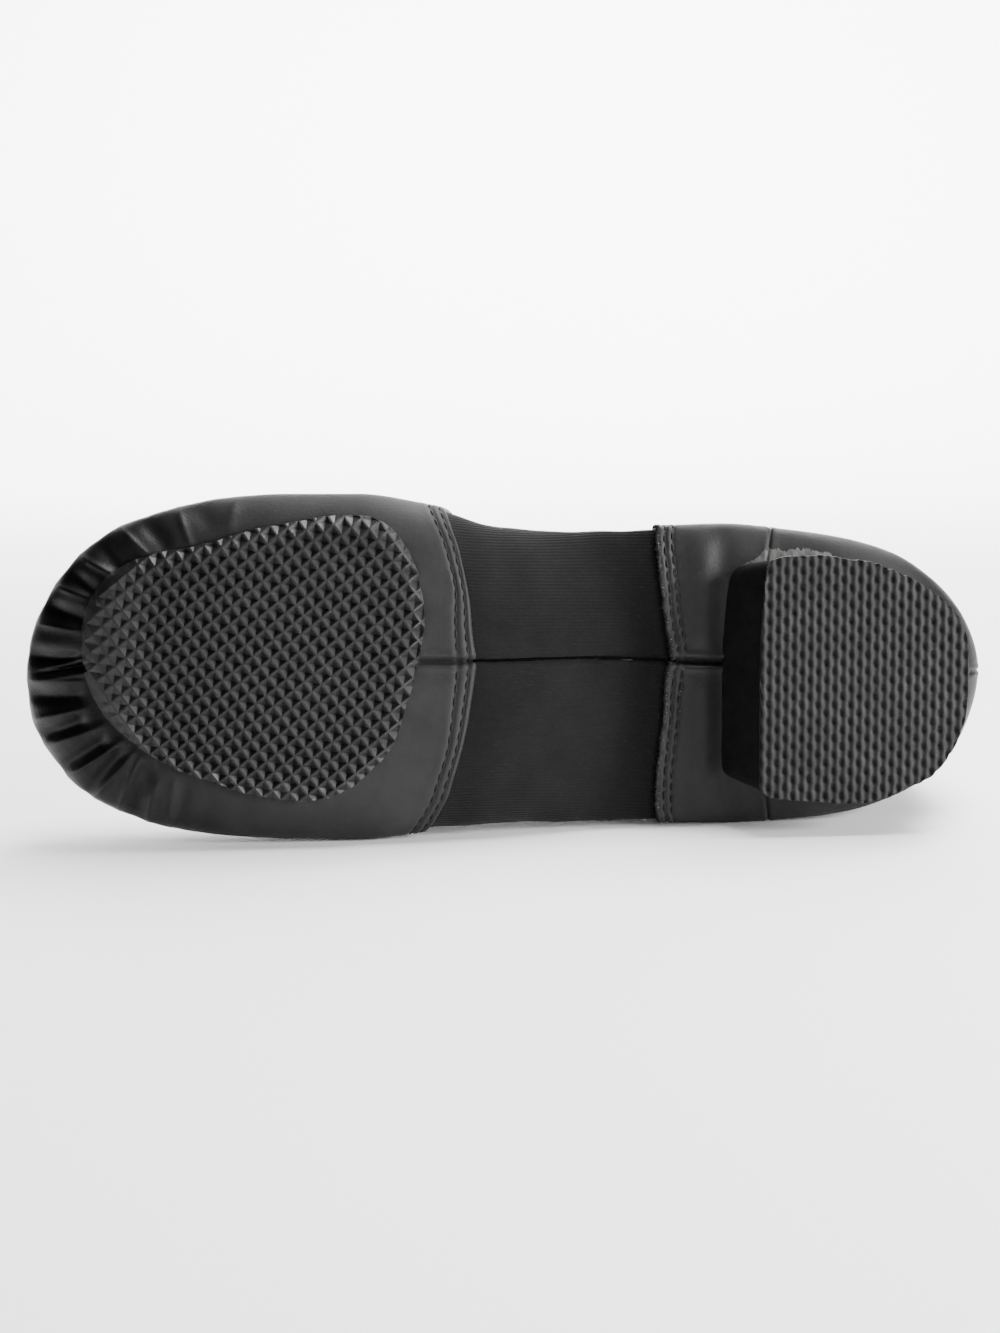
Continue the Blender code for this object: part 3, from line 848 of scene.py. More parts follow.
def make_heel_leather():
    """Leather of the heel, one sheet from seam to seam round the back."""
    high = np.linspace(0, 0.97, 62)
    level = sheet_levels(34, high)
    parts = {}
    for side in ("medial", "lateral"):
        rows = up_to_rim(level, 0.7, side)
        edge = rear_edge(side, rows)
        scale = turn_scale(side, edge, rows)
        wave = np.sin(rows * 61) + 0.7 * np.sin(rows * 143 + 1) + 0.5 * np.sin(rows * 317 + 2)
        edge = edge + 0.00013 * wave / scale
        close = edge[None, :] + REAR_STEPS[:, None] / scale[None, :]
        seam = SIDE_SEAM[side]
        offsets = np.array([-0.009, -0.006, -0.004, -0.0028, -0.002, -0.0014, -0.0009, -0.0005, 0])
        offsets = np.concatenate([offsets, -offsets[-2::-1]])
        first = close[-1]
        share = np.linspace(0, 1, 26)[1:, None]
        up = first[None, :] + share * (seam + offsets[0] - first)[None, :]
        middle = np.broadcast_to(seam + offsets[1:, None], (len(offsets) - 1, len(rows)))
        after = np.linspace(seam + offsets[-1], 0.97, 70)[1:]
        after = np.concatenate([after, np.linspace(0.97, 1.0, 12)[1:]])
        after = np.broadcast_to(after[:, None], (len(after), len(rows)))
        turn = np.concatenate([close, up, middle, after])
        rows = np.broadcast_to(rows, turn.shape)
        points = base_point(turn, side, rows)
        apart = (turn - edge[None, :]) * scale[None, :]
        from_seam = (turn - seam) * turn_scale(side, turn, rows)
        parts[side] = (points, rows, apart, from_seam, turn)
    halves = zip(parts["medial"], parts["lateral"])
    points, rows, apart, from_seam, turn = (np.concatenate([a, b[-2::-1]]) for a, b in halves)
    normal = seam_normal(grid_normals(points), rows)
    out = LEATHER_LAP * rolled(apart + 0.0001, 0.0006)
    for inset, deep in zip(REAR_ROWS, (0.00040, 0.00036)):
        out -= deep * bump(apart - inset, ROW_WIDTH)
    out += 0.00012 * bump(apart - 0.0030, 0.0005) + 0.00012 * bump(apart - 0.0012, 0.0005)
    out += np.where(apart < 0, -0.0004, 0.0)
    out += seam_groove(points, rows)
    side_join = ease((rows + 0.62) / 0.1)
    out -= 0.00034 * bump(from_seam, 0.00038) * side_join
    out += 0.00010 * bump(np.abs(from_seam) - 0.0011, 0.0006) * side_join
    back = (1 - turn) * 0.37
    back = np.where(np.abs(turn - 1) < 0.08, back, 1.0)
    join = -0.00040 * bump(back * 0.6, 0.00045) + 0.00015 * bump(back * 0.6 - 0.0012, 0.0007)
    out += join * ease((rows + 0.9) / 0.1)
    along = points[..., 0]
    under_foot = ease((-0.02 - rows) / 0.4)
    beside = 1 - bump(points[..., 2] - seam_line(along), 0.004)
    out += 0.0008 * bump(along - 0.1668, 0.0034) * under_foot * beside
    out -= 0.0010 * bump(along - 0.1722, 0.0030) * under_foot
    out -= 0.0005 * bump(along - 0.1605, 0.0026) * under_foot * beside
    points = points + normal * out[..., None]
    return strip("heel_leather", points)


def make_lining():
    """Inside face of the shoe."""
    turn = np.linspace(0, 1, 96)
    level = np.concatenate([np.linspace(-1, -0.5, 16), np.linspace(-0.5, 0, 14)[1:]])
    level = np.concatenate([level, np.linspace(0, 0.99, 44)[1:]])
    points, normal = whole_grid(turn, level)
    return strip("lining", points - normal * (FABRIC + 0.0002), flip=True, merge=2e-5)


def make_binding():
    """Folded tape sewn over the collar's edge."""
    turn = np.concatenate([np.linspace(0, 1, 150), np.linspace(1, 0, 150)[1:-1]])
    side = np.array(["lateral"] * 150 + ["medial"] * 148)
    rows = []
    for t, s in zip(turn, side):
        t = min(max(t, 0.004), 0.996)
        top = base_point(np.array([t]), s, np.array([1.0]))[0]
        below = base_point(np.array([t]), s, np.array([0.93]))[0]
        up = unit(top - below)
        normal = base_normal(np.array([t]), s, np.array([0.97]))[0]
        rows.append((top, up, unit(normal - up * normal.dot(up))))
    top, up, normal = (np.array([row[k] for row in rows]) for k in range(3))
    top, up, normal = (round_off(a, 6) for a in (top, up, normal))
    outer = LEATHER_LAP + BINDING
    inner = -FABRIC - 0.0004
    middle = (outer + inner) / 2
    half = (outer - inner) / 2
    edge = -BINDING_WIDTH
    section = [(edge - 0.0002, outer - 0.0007), (edge, outer - 0.0001)]
    section += [(edge + 0.0004, outer + 0.00008)]
    section += [(-0.0034, outer + 0.00002), (-0.0028, outer - 0.00012)]
    section += [(-0.0022, outer + 0.00002), (-0.0014, outer + 0.0001)]
    for a in np.radians([75, 55, 35, 15, -5, -25, -45, -65, -80]):
        section.append((0.0012 * np.cos(a) - 0.0004, middle + half * np.sin(a) * 1.04))
    section += [(-0.0016, inner - 0.00005), (-0.003, inner)]
    section += [(edge, inner + 0.0001), (edge - 0.0002, inner + 0.0005)]
    grid = np.stack([top + up * a + normal * b for a, b in section], axis=1)
    faces = grid_faces(*grid.shape[:2], closed=True)
    tape = make("collar_binding", grid.reshape(-1, 3), faces.tolist(), uv=grid_uv(grid))
    return tape, top, up, normal


# ---- stitches
def along_path(points, normals, pitch, length, start=0.0):
    """Centres, directions and normals of the stitches of one row."""
    step = np.linalg.norm(np.diff(points, axis=0), axis=1)
    distance = np.concatenate([[0], np.cumsum(step)])
    places = np.arange(start + 0.3 * pitch, distance[-1] - length, pitch)
    found = []
    for place in places:
        where = place + np.linspace(0, length, 6)
        path = np.stack([np.interp(where, distance, points[:, k]) for k in range(3)], axis=1)
        normal = np.stack([np.interp(where, distance, normals[:, k]) for k in range(3)], axis=1)
        found.append((path, unit(normal)))
    return found


def threads(name, found, radius, dip=0.0003, rise=0.00006, sides=7):
    """Short rounded threads that dive into the leather at both ends."""
    share = np.linspace(-1, 1, 6)
    height = rise - (dip + rise) * share**4
    thick = radius * (1 - 0.45 * share**6)
    points = []
    faces = []
    for path, normal in found:
        across = np.cross(unit(np.gradient(path, axis=0)), normal)
        centre = path + normal * height[:, None]
        start = len(points)
        ring, walls = tube(centre, across, 0.75 * normal, np.tile(thick[:, None], sides), start)
        points += list(ring)
        faces += walls
        faces.append([start + j for j in range(sides)])
        faces.append([start + 5 * sides + j for j in range(sides)][::-1])
    return make(name, np.array(points), faces)


def edge_rows(which, insets, sign):
    found = []
    for side in SIDES:
        level = np.linspace(-0.985, 0.93, 500)
        for k, inset in enumerate(insets):
            place = beside_edge(which, side, level, sign * inset, LEATHER_LAP - 0.00012)
            found += along_path(*place, STITCH_PITCH, STITCH_LENGTH, start=0.0008 * k)
    return found


def make_stitches(top, up, normal):
    found = edge_rows(front_edge, FRONT_ROWS, -1.0) + edge_rows(rear_edge, REAR_ROWS, 1.0)
    seams = threads("seam_stitches", found, 0.00024)
    outer = LEATHER_LAP + BINDING
    path = top - up * 0.0028 + normal * (outer - 0.00010)
    path = np.concatenate([path, path[:1]])
    around = np.concatenate([normal, normal[:1]])
    rim = threads("collar_stitches", along_path(path, around, 0.0029, 0.0021), 0.0002)
    return seams, rim


def make_cord():
    """Dark thread that closes the sleeve's seam under the foot, not quite straight; its near-black
    matte colour also paints the seam's shadow line.
    """
    rng = np.random.default_rng(31)
    count = 220
    ends = [which("medial", np.array([-1.0]))[0] for which in (front_edge, rear_edge)]
    turn = np.linspace(ends[0] - 0.002, ends[1] + 0.002, count)
    path = base_point(turn, "medial", np.full(count, -1.0))
    path[:, 2] += 0.00055 * bump(path[:, 0] - 0.137, 0.016)
    path[:, 2] += 0.00012 * round_off(rng.normal(size=(count, 1)), 6)[:, 0]
    path[:, 1] += 0.00012
    thick = 0.00034 * (1 + 0.18 * round_off(rng.normal(size=(count, 1)), 2))
    across, down = np.array([[0.0, 0.0, 1.0]]), np.array([[0.0, -0.7, 0.0]])
    return make("sleeve_cord", *tube(path, across, down, np.tile(thick, 7)))


def make_raw_edge():
    """Rough cut edge of the heel leather where it laps over the fabric."""
    rng = np.random.default_rng(19)
    sides = 8
    points = []
    faces = []
    for side in SIDES:
        level = np.linspace(-0.99, 0.9, 620)
        path, normal = beside_edge(rear_edge, side, level, 0.0003, 0.00055)
        across = np.cross(unit(np.gradient(path, axis=0)), normal)
        rough = rng.normal(size=(len(level), sides))
        rough = 0.5 * rough + 0.5 * np.roll(rough, 1, axis=0)
        ring, walls = tube(path, across, normal, 0.00050 * (1 + 0.42 * rough), len(points))
        points += list(ring)
        faces += walls
    return make("raw_edge", np.array(points), faces)


def make_specks():
    """Pale fibres and bits of cement along the raw edge of the heel leather."""
    rng = np.random.default_rng(7)
    points = []
    faces = []
    for side in SIDES:
        level = rng.uniform(-0.97, 0.0, 26)
        by_edge = rng.random(26) < 0.7
        inset = np.where(by_edge, rng.uniform(0.0001, 0.0007, 26), rng.uniform(0.0036, 0.0042, 26))
        height = np.where(inset < 0.0008, 0.00102, 0.00090)
        centre, normal = beside_edge(rear_edge, side, level, inset, height[:, None])
        for c, n in zip(centre, normal):
            size = rng.uniform(0.00006, 0.00013)
            long = size * rng.uniform(1.0, 2.0)
            a = np.cross(n, rng.normal(size=3))
            a /= np.linalg.norm(a)
            b = np.cross(n, a)
            start = len(points)
            points += [c + a * long, c + b * size, c - a * long, c - b * size]
            points += [c + n * size * 0.8, c - n * size]
            for p, q in ((0, 1), (1, 2), (2, 3), (3, 0)):
                faces.append([start + p, start + q, start + 4])
                faces.append([start + q, start + p, start + 5])
    return make("edge_fibres", np.array(points), faces)


def make_cement(tree):
    """Smear of dried cement on the leather beside the heel, along its medial side."""
    rng = np.random.default_rng(23)
    loop = heel_loop(HEEL_FLARE, BREAST_SLANT)
    upper_half = loop[loop[:, 1] > loop[:, 1].mean()]
    order = np.argsort(upper_half[:, 0])
    count = 150
    along = np.linspace(0.1762, 0.2085, count)
    edge = np.interp(along, upper_half[order, 0], upper_half[order, 1])
    share = np.linspace(0, 1, count)
    fine = round_off(rng.normal(size=(count, 1)), 1)[:, 0]
    coarse = round_off(rng.normal(size=(count, 1)), 40)[:, 0]
    coarse /= np.abs(coarse).max()
    body = ease(share / 0.25) * (1 - 0.75 * ease((share - 0.45) / 0.5))
    wide = 0.0032 * body + 0.0009 * coarse * body + 0.0003 * fine
    wide = np.maximum(wide, 0.0002)
    flat = []
    thick = []
    for k in range(count):
        for t in np.linspace(0, 1, 9):
            flat.append((along[k], edge[k] - 0.0006 + t * (wide[k] + 0.0006)))
            rough = 0.00005 * fine[k] * (1 - t) + 0.00002 * rng.normal()
            thick.append(0.00014 * (1 - t**3) + rough)
    flat = np.array(flat)
    points = lifted(flat, heights_over(tree, flat, 0.012) - thick)
    return make("cement_smear", points, grid_faces(count, 9).tolist())


DOWN_ROW = TURN @ np.array([0.0, -1.0, 0.0])


def heights_over(tree, flat, fallback, start=-0.01):
    """Heights in shoe coordinates where lines going up from start first meet a piece."""
    found = []
    for x, z in flat:
        hit = tree.ray_cast(Vector(lay(np.array([x, start, z]))), Vector(-DOWN_ROW))
        found.append(start + hit[3] if hit[0] is not None else fallback)
    return np.array(found)


def lifted(flat, height):
    """Plan points at a height."""
    return np.stack([flat[:, 0], np.broadcast_to(height, len(flat)), flat[:, 1]], axis=1)


TREAD_WAYS = np.array([[np.cos(a), np.sin(a)] for a in np.radians(TREAD_ANGLES)])


def make_patch(tree):
    """Thin rubber sheet under the ball, with rows of small four-sided pits."""
    rng = np.random.default_rng(3)
    marks = np.array([0.065, 0.46, 0.54, 0.935])
    corner = patch_loop @ TREAD_WAYS.T / TREAD_PITCH
    low = np.floor(corner.min(axis=0)).astype(int) - 1
    high = np.ceil(corner.max(axis=0)).astype(int) + 1
    a = (np.arange(low[0], high[0])[:, None] + marks).ravel()
    b = (np.arange(low[1], high[1])[:, None] + marks).ravel()
    grid_a, grid_b = np.meshgrid(a, b, indexing="ij")
    flat = np.stack([grid_a, grid_b], axis=-1) * TREAD_PITCH @ np.linalg.inv(TREAD_WAYS).T
    index_a = np.arange(len(a)) % 4
    index_b = np.arange(len(b)) % 4
    pit = np.isin(index_a, (1, 2))[:, None] & np.isin(index_b, (1, 2))[None, :]
    depth = np.where(pit, -1.0, -2.0)
    points = np.stack([flat[..., 0], depth, flat[..., 1]], axis=-1).reshape(-1, 3)
    columns, rows = len(a), len(b)
    faces = []
    for c in range(columns - 1):
        for r in range(rows - 1):
            quad = [c * rows + r, (c + 1) * rows + r, (c + 1) * rows + r + 1, c * rows + r + 1]
            kind = (index_a[c], index_b[r])
            if kind in ((0, 0), (2, 2)):
                faces += [[quad[0], quad[1], quad[2]], [quad[0], quad[2], quad[3]]]
            elif kind in ((0, 2), (2, 0)):
                faces += [[quad[1], quad[2], quad[3]], [quad[1], quad[3], quad[0]]]
            else:
                faces.append(quad)
    sheet = edit(new_mesh("sheet", points, faces), lambda work: close_rim(work, 0.0))
    body = put("sheet", sheet)
    count = len(patch_loop)
    loop = patch_loop + round_off(rng.normal(size=(count, 2)), 1) * 0.00016
    ring = np.concatenate([lifted(loop, 1.0), lifted(loop, -3.0)])
    sides = [[k, (k + 1) % count, count + (k + 1) % count, count + k] for k in range(count)]
    ends = [list(range(count)), list(range(2 * count - 1, count - 1, -1))]
    knife = put("cutter", edit(new_mesh("cutter", ring, sides + ends)))
    cut = body.modifiers.new("cut", "BOOLEAN")
    cut.operation = "INTERSECT"
    cut.solver = "EXACT"
    cut.object = knife
    graph = bpy.context.evaluated_depsgraph_get()
    points, faces = contents(bpy.data.meshes.new_from_object(body.evaluated_get(graph)))
    bpy.data.objects.remove(body)
    bpy.data.objects.remove(knife)
    inside = -loop_distance(points[:, [0, 2]], patch_loop)
    top = heights_over(tree, points[:, [0, 2]], 0.005) - 0.00005
    thick = PATCH - 0.0009 * (1 - ease(inside / 0.0028))
    sole = np.maximum(top - thick, 0.0)
    worn = 1 - ease((points[:, 0] - 0.018) / 0.020)
    flat_band = worn * (1 - ease((inside - 0.0006) / 0.0018))
    tall = PIT_DEPTH * (1 - 0.72 * worn) * (1 - flat_band)
    tall = np.minimum(tall, 0.8 * (top - sole))
    share = -points[:, 1]
    floor = sole + tall
    height = np.where(share <= 1, top + (floor - top) * share, floor + (sole - floor) * (share - 1))
    points[:, 1] = height
    return make("forefoot_tread", points, faces, smooth_angle=12)


def make_heel_tread():
    """Rubber sheet under the heel with a woven looking tread, cut to the heel's outline."""
    loop = heel_loop(0.004, 0.0, 400)
    rng = np.random.default_rng(11)
    loop = loop + round_off(rng.normal(size=loop.shape), 2) * 0.0002
    xs = np.linspace(loop[:, 0].min() + 1e-5, loop[:, 0].max() - 1e-5, 190)
    zs = np.arange(loop[:, 1].min() - 0.0003, loop[:, 1].max() + 0.0003, 0.00027)
    grid = np.zeros((len(xs), len(zs), 3))
    following = np.roll(loop, -1, axis=0)
    for k, x in enumerate(xs):
        hits = (loop[:, 0] > x) != (following[:, 0] > x)
        a = loop[hits]
        b = following[hits]
        z = a[:, 1] + (x - a[:, 0]) / (b[:, 0] - a[:, 0]) * (b[:, 1] - a[:, 1])
        grid[k, :, 0] = x
        grid[k, :, 2] = np.clip(zs, z.min(), z.max())
    x = grid[..., 0] - loop[:, 0].min()
    z = grid[..., 2]
    cell_x = x / BAR_PITCH
    cell_z = z / BAR_ROW_PITCH
    wobble = 0.00016 * np.sin(np.pi * cell_z) * np.cos(np.pi * (cell_x - 0.5))
    bar = (0.5 + 0.5 * np.cos(2 * np.pi * (x + wobble) / BAR_PITCH - np.pi)) ** 0.8
    pit = np.zeros_like(x)
    for parity in (0, 1):
        across = (cell_x - parity) / 2 - np.round((cell_x - parity) / 2)
        down = (cell_z - parity) / 2 - np.round((cell_z - parity) / 2)
        near_x = across * 2 * BAR_PITCH
        near_z = down * 2 * BAR_ROW_PITCH + 0.0001
        here = np.exp(-((near_x / 0.00056) ** 4)) * np.exp(-(np.abs(near_z / 0.00095) ** 3))
        pit = np.maximum(pit, here)
    grid[..., 1] = 0.00032 * (1 - bar) + 0.00055 * pit
    mesh = edit(
        new_mesh("heel_tread", grid.reshape(-1, 3), grid_faces(len(xs), len(zs)).tolist()),
        lambda work: bmesh.ops.remove_doubles(work, verts=work.verts, dist=2e-6),
        lambda work: close_rim(work, TOP_PIECE, 0.00025),
    )
    return make("heel_tread", *contents(mesh), smooth_angle=50)


def make_heel_block(tree):
    """Foam block between the heel leather and the tread, drawn in above, its breast slanted."""
    low = heel_loop(0.0, 0.0)
    high = heel_loop(HEEL_FLARE, BREAST_SLANT)
    middle = high.mean(axis=0)
    count = len(high)
    base = TOP_PIECE + 0.00002
    top = heights_over(tree, high, 0.015) + 0.0001
    top = (np.roll(top, 1) + top + np.roll(top, -1)) / 3
    rng = np.random.default_rng(5)
    rings = []
    for share in np.linspace(0, 1, 17):
        ring = low + (high - low) * share
        rough = round_off(rng.normal(size=(count, 1)), 2) * 0.00006
        ring = middle + (ring - middle) * (1 + rough / 0.03)
        rings.append(lifted(ring, base + (top - base) * share))
    inner = middle + (high - middle) * 0.9
    rings.append(lifted(inner, heights_over(tree, inner, 0.015) + 0.0003))
    rings.insert(0, lifted(middle + (low - middle) * 0.9, base))
    points = np.concatenate(rings)
    faces = []
    for k in range(len(rings) - 1):
        for c in range(count):
            d = (c + 1) % count
            faces.append([k * count + c, k * count + d, (k + 1) * count + d, (k + 1) * count + c])
    faces.append(list(range(count))[::-1])
    faces.append([(len(rings) - 1) * count + c for c in range(count)])
    thing = make("heel_foam", points, faces, smooth_angle=40)
    edit(thing.data)
    return thing


def make_sock():
    """Thin sock inside, glued from toe to heel."""
    turn = np.linspace(0.0, 1, 110)
    level = np.concatenate([np.linspace(-1, -0.5, 20), np.linspace(-0.5, -0.25, 14)[1:]])
    points, normal = whole_grid(turn, level)
    levels = np.broadcast_to(level, points.shape[:2])
    rise = INSOLE * np.sqrt(np.clip((-0.25 - levels) / 0.06, 0, 1))
    points = points - normal * (FABRIC + GAP + rise)[..., None]
    return strip("sock", points, flip=True, merge=2e-5)


# ---- materials
FABRIC_SHINE = {"Sheen_Weight": 0.03, "Sheen_Roughness": 0.5, "Specular_IOR_Level": 0.12}


def grey(value, blue=0.0):
    """A grey, its blue a little off where asked."""
    return (value, value, value + blue)


class Nodes:
    """Short hand for a material's node tree."""

    def __init__(self, name, colour, roughness, **sockets):
        self.material = bpy.data.materials.new(name)
        self.material.use_nodes = True
        self.tree = self.material.node_tree
        self.shader = self.tree.nodes["Principled BSDF"]
        self.shader.inputs["Base Color"].default_value = (*colour, 1.0)
        self.shader.inputs["Roughness"].default_value = roughness
        for key, value in sockets.items():
            self.shader.inputs[key.replace("_", " ")].default_value = value

    def link(self, a, b):
        self.tree.links.new(a, b)

    def add(self, kind, values=None, **settings):
        """A node with its inputs set, or linked where a value is another node's output."""
        node = self.tree.nodes.new(kind)
        for key, value in settings.items():
            setattr(node, key, value)
        for key, value in (values or {}).items():
            if isinstance(value, bpy.types.NodeSocket):
                self.link(value, node.inputs[key])
            else:
                node.inputs[key].default_value = value
        return node

    def place(self, uv=False, scale=(1, 1, 1)):
        """Coordinates in metres, by the piece's own surface or by its place."""
        source = self.add("ShaderNodeTexCoord").outputs["UV" if uv else "Object"]
        return self.add("ShaderNodeMapping", {"Scale": scale, "Vector": source}).outputs["Vector"]

    def noise(self, vector, scale, detail=3.0, rough=0.5):
        values = {"Scale": scale, "Detail": detail, "Roughness": rough, "Vector": vector}
        return self.add("ShaderNodeTexNoise", values).outputs["Fac"]

    def cells(self, vector, scale):
        values = {"Scale": scale, "Vector": vector}
        return self.add("ShaderNodeTexVoronoi", values).outputs["Distance"]

    def bands(self, vector, scale, way, distortion):
        values = {"Scale": scale, "Distortion": distortion, "Detail Scale": 1.0, "Vector": vector}
        node = self.add("ShaderNodeTexWave", values, wave_type="BANDS", bands_direction=way)
        return node.outputs["Fac"]

    def span(self, value, low, high, out_low, out_high):
        values = {"From Min": low, "From Max": high, "To Min": out_low, "To Max": out_high}
        return self.add("ShaderNodeMapRange", {**values, "Value": value}).outputs["Result"]

    def mix(self, share, first, second):
        """Colour between two, each a colour or a node's output."""
        first, second = ((*c, 1.0) if isinstance(c, tuple) else c for c in (first, second))
        values = {0: share, 6: first, 7: second}
        return self.add("ShaderNodeMix", values, data_type="RGBA").outputs[2]

    def math(self, kind, a, b):
        return self.add("ShaderNodeMath", {0: a, 1: b}, operation=kind).outputs[0]

    def mottled(self, value, colour, spread):
        """Colour that drifts by a share of itself."""
        ends = (tuple((1 + sign * spread) * c for c in colour) for sign in (-1, 1))
        return self.mix(self.span(value, 0.35, 0.65, 0, 1), *ends)

    def paint_shade(self, tone, dark, spans):
        """Tone with painted shade, turning dark over spans of (axis, from, to, share left at from,
        share at to).
        """
        axes = self.add("ShaderNodeSeparateXYZ", {0: self.place()})
        share = None
        for axis, low, high, first, last in spans:
            part = self.span(axes.outputs[axis], low, high, first, last)
            share = part if share is None else self.math("MULTIPLY", share, part)
        return self.mix(share, grey(dark), tone), share

    def relief(self, heights):
        """Bumps from a list of (value, depth in metres)."""
        last = None
        for value, depth in heights:
            node = self.add("ShaderNodeBump", {"Distance": depth, "Strength": 1.0, "Height": value})
            if last is not None:
                self.link(last, node.inputs["Normal"])
            last = node.outputs["Normal"]
        self.link(last, self.shader.inputs["Normal"])

    def colour(self, value):
        self.link(value, self.shader.inputs["Base Color"])

    def rough(self, value):
        self.link(value, self.shader.inputs["Roughness"])


def leather_material(name, colour, roughness, shine, spans, smoother=0.0):
    m = Nodes(name, colour, roughness, Specular_IOR_Level=shine)
    place = m.place()
    grain = m.cells(place, 1500)
    pores = m.noise(place, 2600, 2.0)
    broad = m.noise(place, 90, 3.0)
    soft = m.noise(place, 320, 4.0, 0.6)
    tone = m.mottled(broad, colour, 0.15)
    rough = m.span(broad, 0.3, 0.7, roughness - 0.05, roughness + 0.05)
    rough = m.math("ADD", rough, m.span(soft, 0.3, 0.7, -0.03, 0.03))
    # Painted shade over the spans given; where it is darkest the leather is also made smoother
    tone, share = m.paint_shade(tone, 0.0012, spans)
    if smoother:
        rough = m.math("SUBTRACT", rough, m.span(share, 0.0, 1.0, smoother, 0.0))
    m.colour(tone)
    m.rough(rough)
    m.relief([(soft, 0.00003), (grain, 0.000035), (pores, 0.000012)])
    return m.material


def fabric_material():
    m = Nodes("stretch_fabric", grey(0.005, 0.0002), 0.9, **FABRIC_SHINE)
    place = m.place(uv=True)
    ribs = m.bands(place, 0.1 * np.pi / RIB_PITCH, "Y", 0.6)
    rows = m.bands(place, 0.1 * np.pi / (0.7 * RIB_PITCH), "X", 0.6)
    solid = m.place()
    broad = m.noise(solid, 70, 3.0)
    fuzz = m.noise(solid, 2400, 3.0)
    drift = m.span(broad, 0.35, 0.65, 0, 1)
    tone = m.mix(drift, grey(0.0042, 0.0002), grey(0.0062, 0.0002))
    # Painted shade: the fabric turns dark toward the heel leather's seam, along the row frame's x
    m.colour(m.paint_shade(tone, 0.0006, [(0, 0.014, 0.034, 1.0, 0.0)])[0])
    m.relief([(ribs, 0.00010), (rows, 0.00003), (fuzz, 0.00006)])
    return m.material


def rubber_material(name, colour, roughness, wear, shine, spans=()):
    m = Nodes(name, colour, roughness, Specular_IOR_Level=shine)
    place = m.place()
    fine = m.noise(place, 1800, 4.0, 0.6)
    broad = m.noise(place, 140, 3.0)
    geometry = m.add("ShaderNodeNewGeometry")
    edge = m.span(geometry.outputs["Pointiness"], 0.5, 0.62, 0.0, 1.0)
    dusty = m.math("MULTIPLY", edge, m.span(broad, 0.3, 0.7, 0.4, 1.0))
    tone = m.mix(dusty, colour, wear)
    # Painted shade over the spans given, where any are; the lighter edges are wear
    m.colour(m.paint_shade(tone, 0.0015, spans)[0] if spans else tone)
    m.rough(m.span(broad, 0.3, 0.7, roughness - 0.06, roughness + 0.08))
    m.relief([(fine, 0.00005)])
    return m.material


def plain_material(name, colour, roughness, grain, depth, mottle, stretch=(1, 1, 1), **sockets):
    m = Nodes(name, colour, roughness, **sockets)
    place = m.place()
    fine = m.noise(place, grain, 4.0, 0.6)
    broad = m.noise(m.place(scale=stretch), grain / 14, 3.0)
    m.colour(m.mottled(broad, colour, mottle))
    m.relief([(fine, depth)])
    return m.material


def dress(thing, material, slot=None, *nodes):
    thing.data.materials.clear()
    thing.data.materials.append(material)
    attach(thing, "root")
    if nodes:
        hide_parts(*nodes)


# Painted shade, where tones turn dark in the row frame: at the toe, toward the vamp and toward the
# back
toe_painted_shade = (0, -0.108, -0.050, 0.0, 1.0)
patch_toe_painted_shade = (0, -0.105, -0.055, 0.1, 1.0)
vamp_painted_shade = (1, -0.016, 0.006, 1.0, 0.2)
back_painted_shade = (0, 0.080, 0.112, 1.0, 0.15)

# Both leathers carry painted shade: at the toe and toward the vamp, and toward the back of the heel
leather = leather_material(
    "soft_leather", grey(0.019, 0.0004), 0.55, 0.13, [toe_painted_shade, vamp_painted_shade], 0.16
)
heel_hide = leather_material(
    "heel_leather_painted_shade", grey(0.014, 0.0003), 0.52, 0.17, [back_painted_shade, vamp_painted_shade]
)
fabric = fabric_material()
patch_rubber = rubber_material(
    "patch_rubber_wear_and_painted_shade", grey(0.009), 0.5, grey(0.027), 0.30, [patch_toe_painted_shade]
)
tread_rubber = rubber_material(
    "tread_rubber_finish", grey(0.0082, 0.0002), 0.68, grey(0.012), 0.24
)
plain = {}
for name, colour, roughness, grain, depth, mottle, shine in (
    ("heel_foam_finish", grey(0.0035), 0.85, 2600, 0.00008, 0.22, 0.1),
    ("lining_cloth", grey(0.035, 0.001), 0.9, 1800, 0.0001, 0.05, 0.15),
    ("sock_cloth", grey(0.05, 0.001), 0.95, 1500, 0.00012, 0.05, 0.15),
    # The cord's near-black, matte finish is partly painted shadow of the seam's groove
    ("cord_and_painted_seam_shadow", grey(0.0012), 1.0, 6000, 0.00004, 0.22, 0.02),
    ("thread", grey(0.003), 0.6, 6000, 0.00004, 0.22, 0.25),
    ("binding_tape", grey(0.008), 0.75, 2200, 0.0001, 0.08, 0.2),
    ("pale_fibre", grey(0.16, -0.005), 0.8, 3000, 0.00002, 0.22, 0.5),
    ("cut_leather", grey(0.024), 0.85, 5200, 0.00020, 0.45, 0.2),
):
    plain[name] = plain_material(
        name, colour, roughness, grain, depth, mottle, Specular_IOR_Level=shine
    )
streaks = (1, 1, 0.12)
dry_cement = plain_material(
    "dry_cement", grey(0.045, -0.002), 0.75, 9000, 0.00006, 0.65, streaks
)

forefoot = strip("forefoot_leather", make_forefoot())
heel_leather = make_heel_leather()
sleeve = make_fabric()
patch = make_patch(tree_of(forefoot))
block = make_heel_block(tree_of(heel_leather))
heel_tread = make_heel_tread()
lining = make_lining()
sock = make_sock()
binding, rim_top, rim_up, rim_normal = make_binding()
seam_threads, rim_threads = make_stitches(rim_top, rim_up, rim_normal)
specks = make_specks()
raw_edge = make_raw_edge()
cord = make_cord()
cement = make_cement(tree_of(heel_leather))

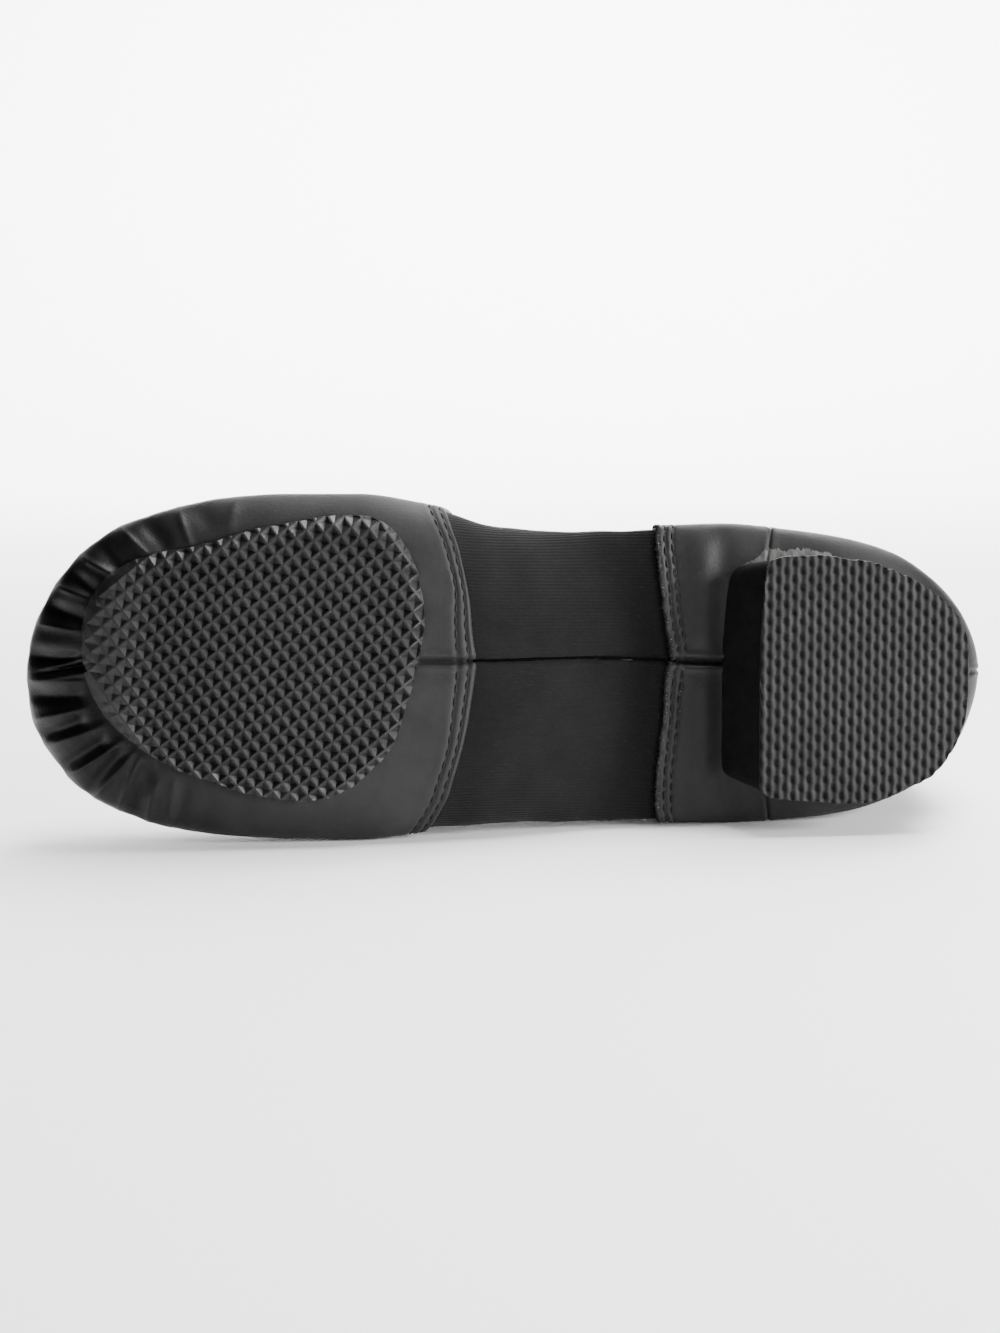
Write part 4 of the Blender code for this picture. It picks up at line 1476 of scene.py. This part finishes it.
dress(forefoot, leather, "leather", "upper")
dress(heel_leather, heel_hide, "leather", "upper")
dress(sleeve, fabric, "leather", "upper")
dress(lining, plain["lining_cloth"], "leather", "upper")
dress(binding, plain["binding_tape"], "leather", "upper")
dress(seam_threads, plain["thread"], "leather")
dress(rim_threads, plain["thread"], "leather")
dress(specks, plain["pale_fibre"], "leather")
dress(raw_edge, plain["cut_leather"], "leather")
dress(cord, plain["cord_and_painted_seam_shadow"], "leather")
dress(cement, dry_cement, "leather")
dress(patch, patch_rubber, "patch_rubber", "forefoot_sole")
dress(block, plain["heel_foam_finish"], "heel_foam", "heel_block")
dress(heel_tread, tread_rubber, "tread_rubber", "heel_top_piece")
dress(sock, plain["sock_cloth"], "sock", "insole")


# ---- studio
def make_floor():
    """Pale sweep: floor, a bend behind the shoe and a wall."""
    section = [(-3.0, 0.0), (-1.0, 0.0), (0.0, 0.0), (0.6, 0.0)]
    for a in np.radians(np.arange(0, 91, 6)):
        section.append((0.9 + 0.6 * np.sin(a), 0.6 - 0.6 * np.cos(a)))
    section.append((1.5, 2.6))
    points = [(x, y, z) for x in np.linspace(-2.6, 2.6, 14) for y, z in section]
    mesh = new_mesh("floor", points, grid_faces(14, len(section)).tolist())
    mesh.shade_smooth()
    thing = put("floor", mesh)
    m = Nodes("pale_floor", grey(0.93), 0.75)
    m.colour(m.mix(m.noise(m.place(), 3, 2.0), grey(0.92), grey(0.94)))
    mesh.materials.append(m.material)
    return thing


def lamp(name, place, aim, size, power, tall=None, spread=180):
    light = bpy.data.lights.new(name, "AREA")
    light.shape = "RECTANGLE"
    light.size = size
    light.size_y = tall or size
    light.energy = power
    light.spread = np.radians(spread)
    thing = put(name, light)
    thing.location = place
    way = Vector(aim) - Vector(place)
    thing.rotation_euler = way.to_track_quat("-Z", "Y").to_euler()
    return thing


def make_camera():
    """The photograph's view of the sole, in shoe coordinates laid down with the shoe."""
    right = np.array([1.0, 0.0, 0.0])
    up = np.array([0.0, np.sin(CAMERA_TILT), np.cos(CAMERA_TILT)])
    back = np.array([0.0, -np.cos(CAMERA_TILT), np.sin(CAMERA_TILT)])
    place = np.array([CAMERA_ALONG, 0.0, CAMERA_MEDIAL]) + CAMERA_AWAY * back
    axes = [TURN @ v for v in (right, up, back)]
    data = bpy.data.cameras.new("camera")
    data.sensor_fit = "HORIZONTAL"
    data.sensor_width = 36.0
    data.lens = CAMERA_LENS
    data.clip_start = 0.01
    thing = put("camera", data)
    thing.matrix_world = Matrix([*np.column_stack([*axes, lay(place)]).tolist(), [0, 0, 0, 1]])
    bpy.context.scene.camera = thing


make_floor()
make_camera()
lamp("key", (0.70, -0.40, 0.20), (0.04, 0, 0.04), 0.26, 19.0, 0.36)
lamp("soft_right", (0.80, -0.95, 0.75), (0.04, 0, 0.04), 0.9, 2.0, 0.9)
lamp("top", (0.60, 1.00, 1.40), (0, 0.75, 0), 1.2, 26.0, 0.8, 110)
lamp("floor", (0.40, 0.10, 1.50), (0.05, 0.02, 0), 0.9, 20.0, 0.9, 110)
lamp("wall_wash", (0.0, 0.7, 1.9), (0, 1.5, 0.5), 1.6, 72.0, 0.5, 80)
world = bpy.data.worlds.new("studio")
world.use_nodes = True
world.node_tree.nodes["Background"].inputs["Color"].default_value = (1, 1, 1, 1)
world.node_tree.nodes["Background"].inputs["Strength"].default_value = 0.03
bpy.context.scene.world = world
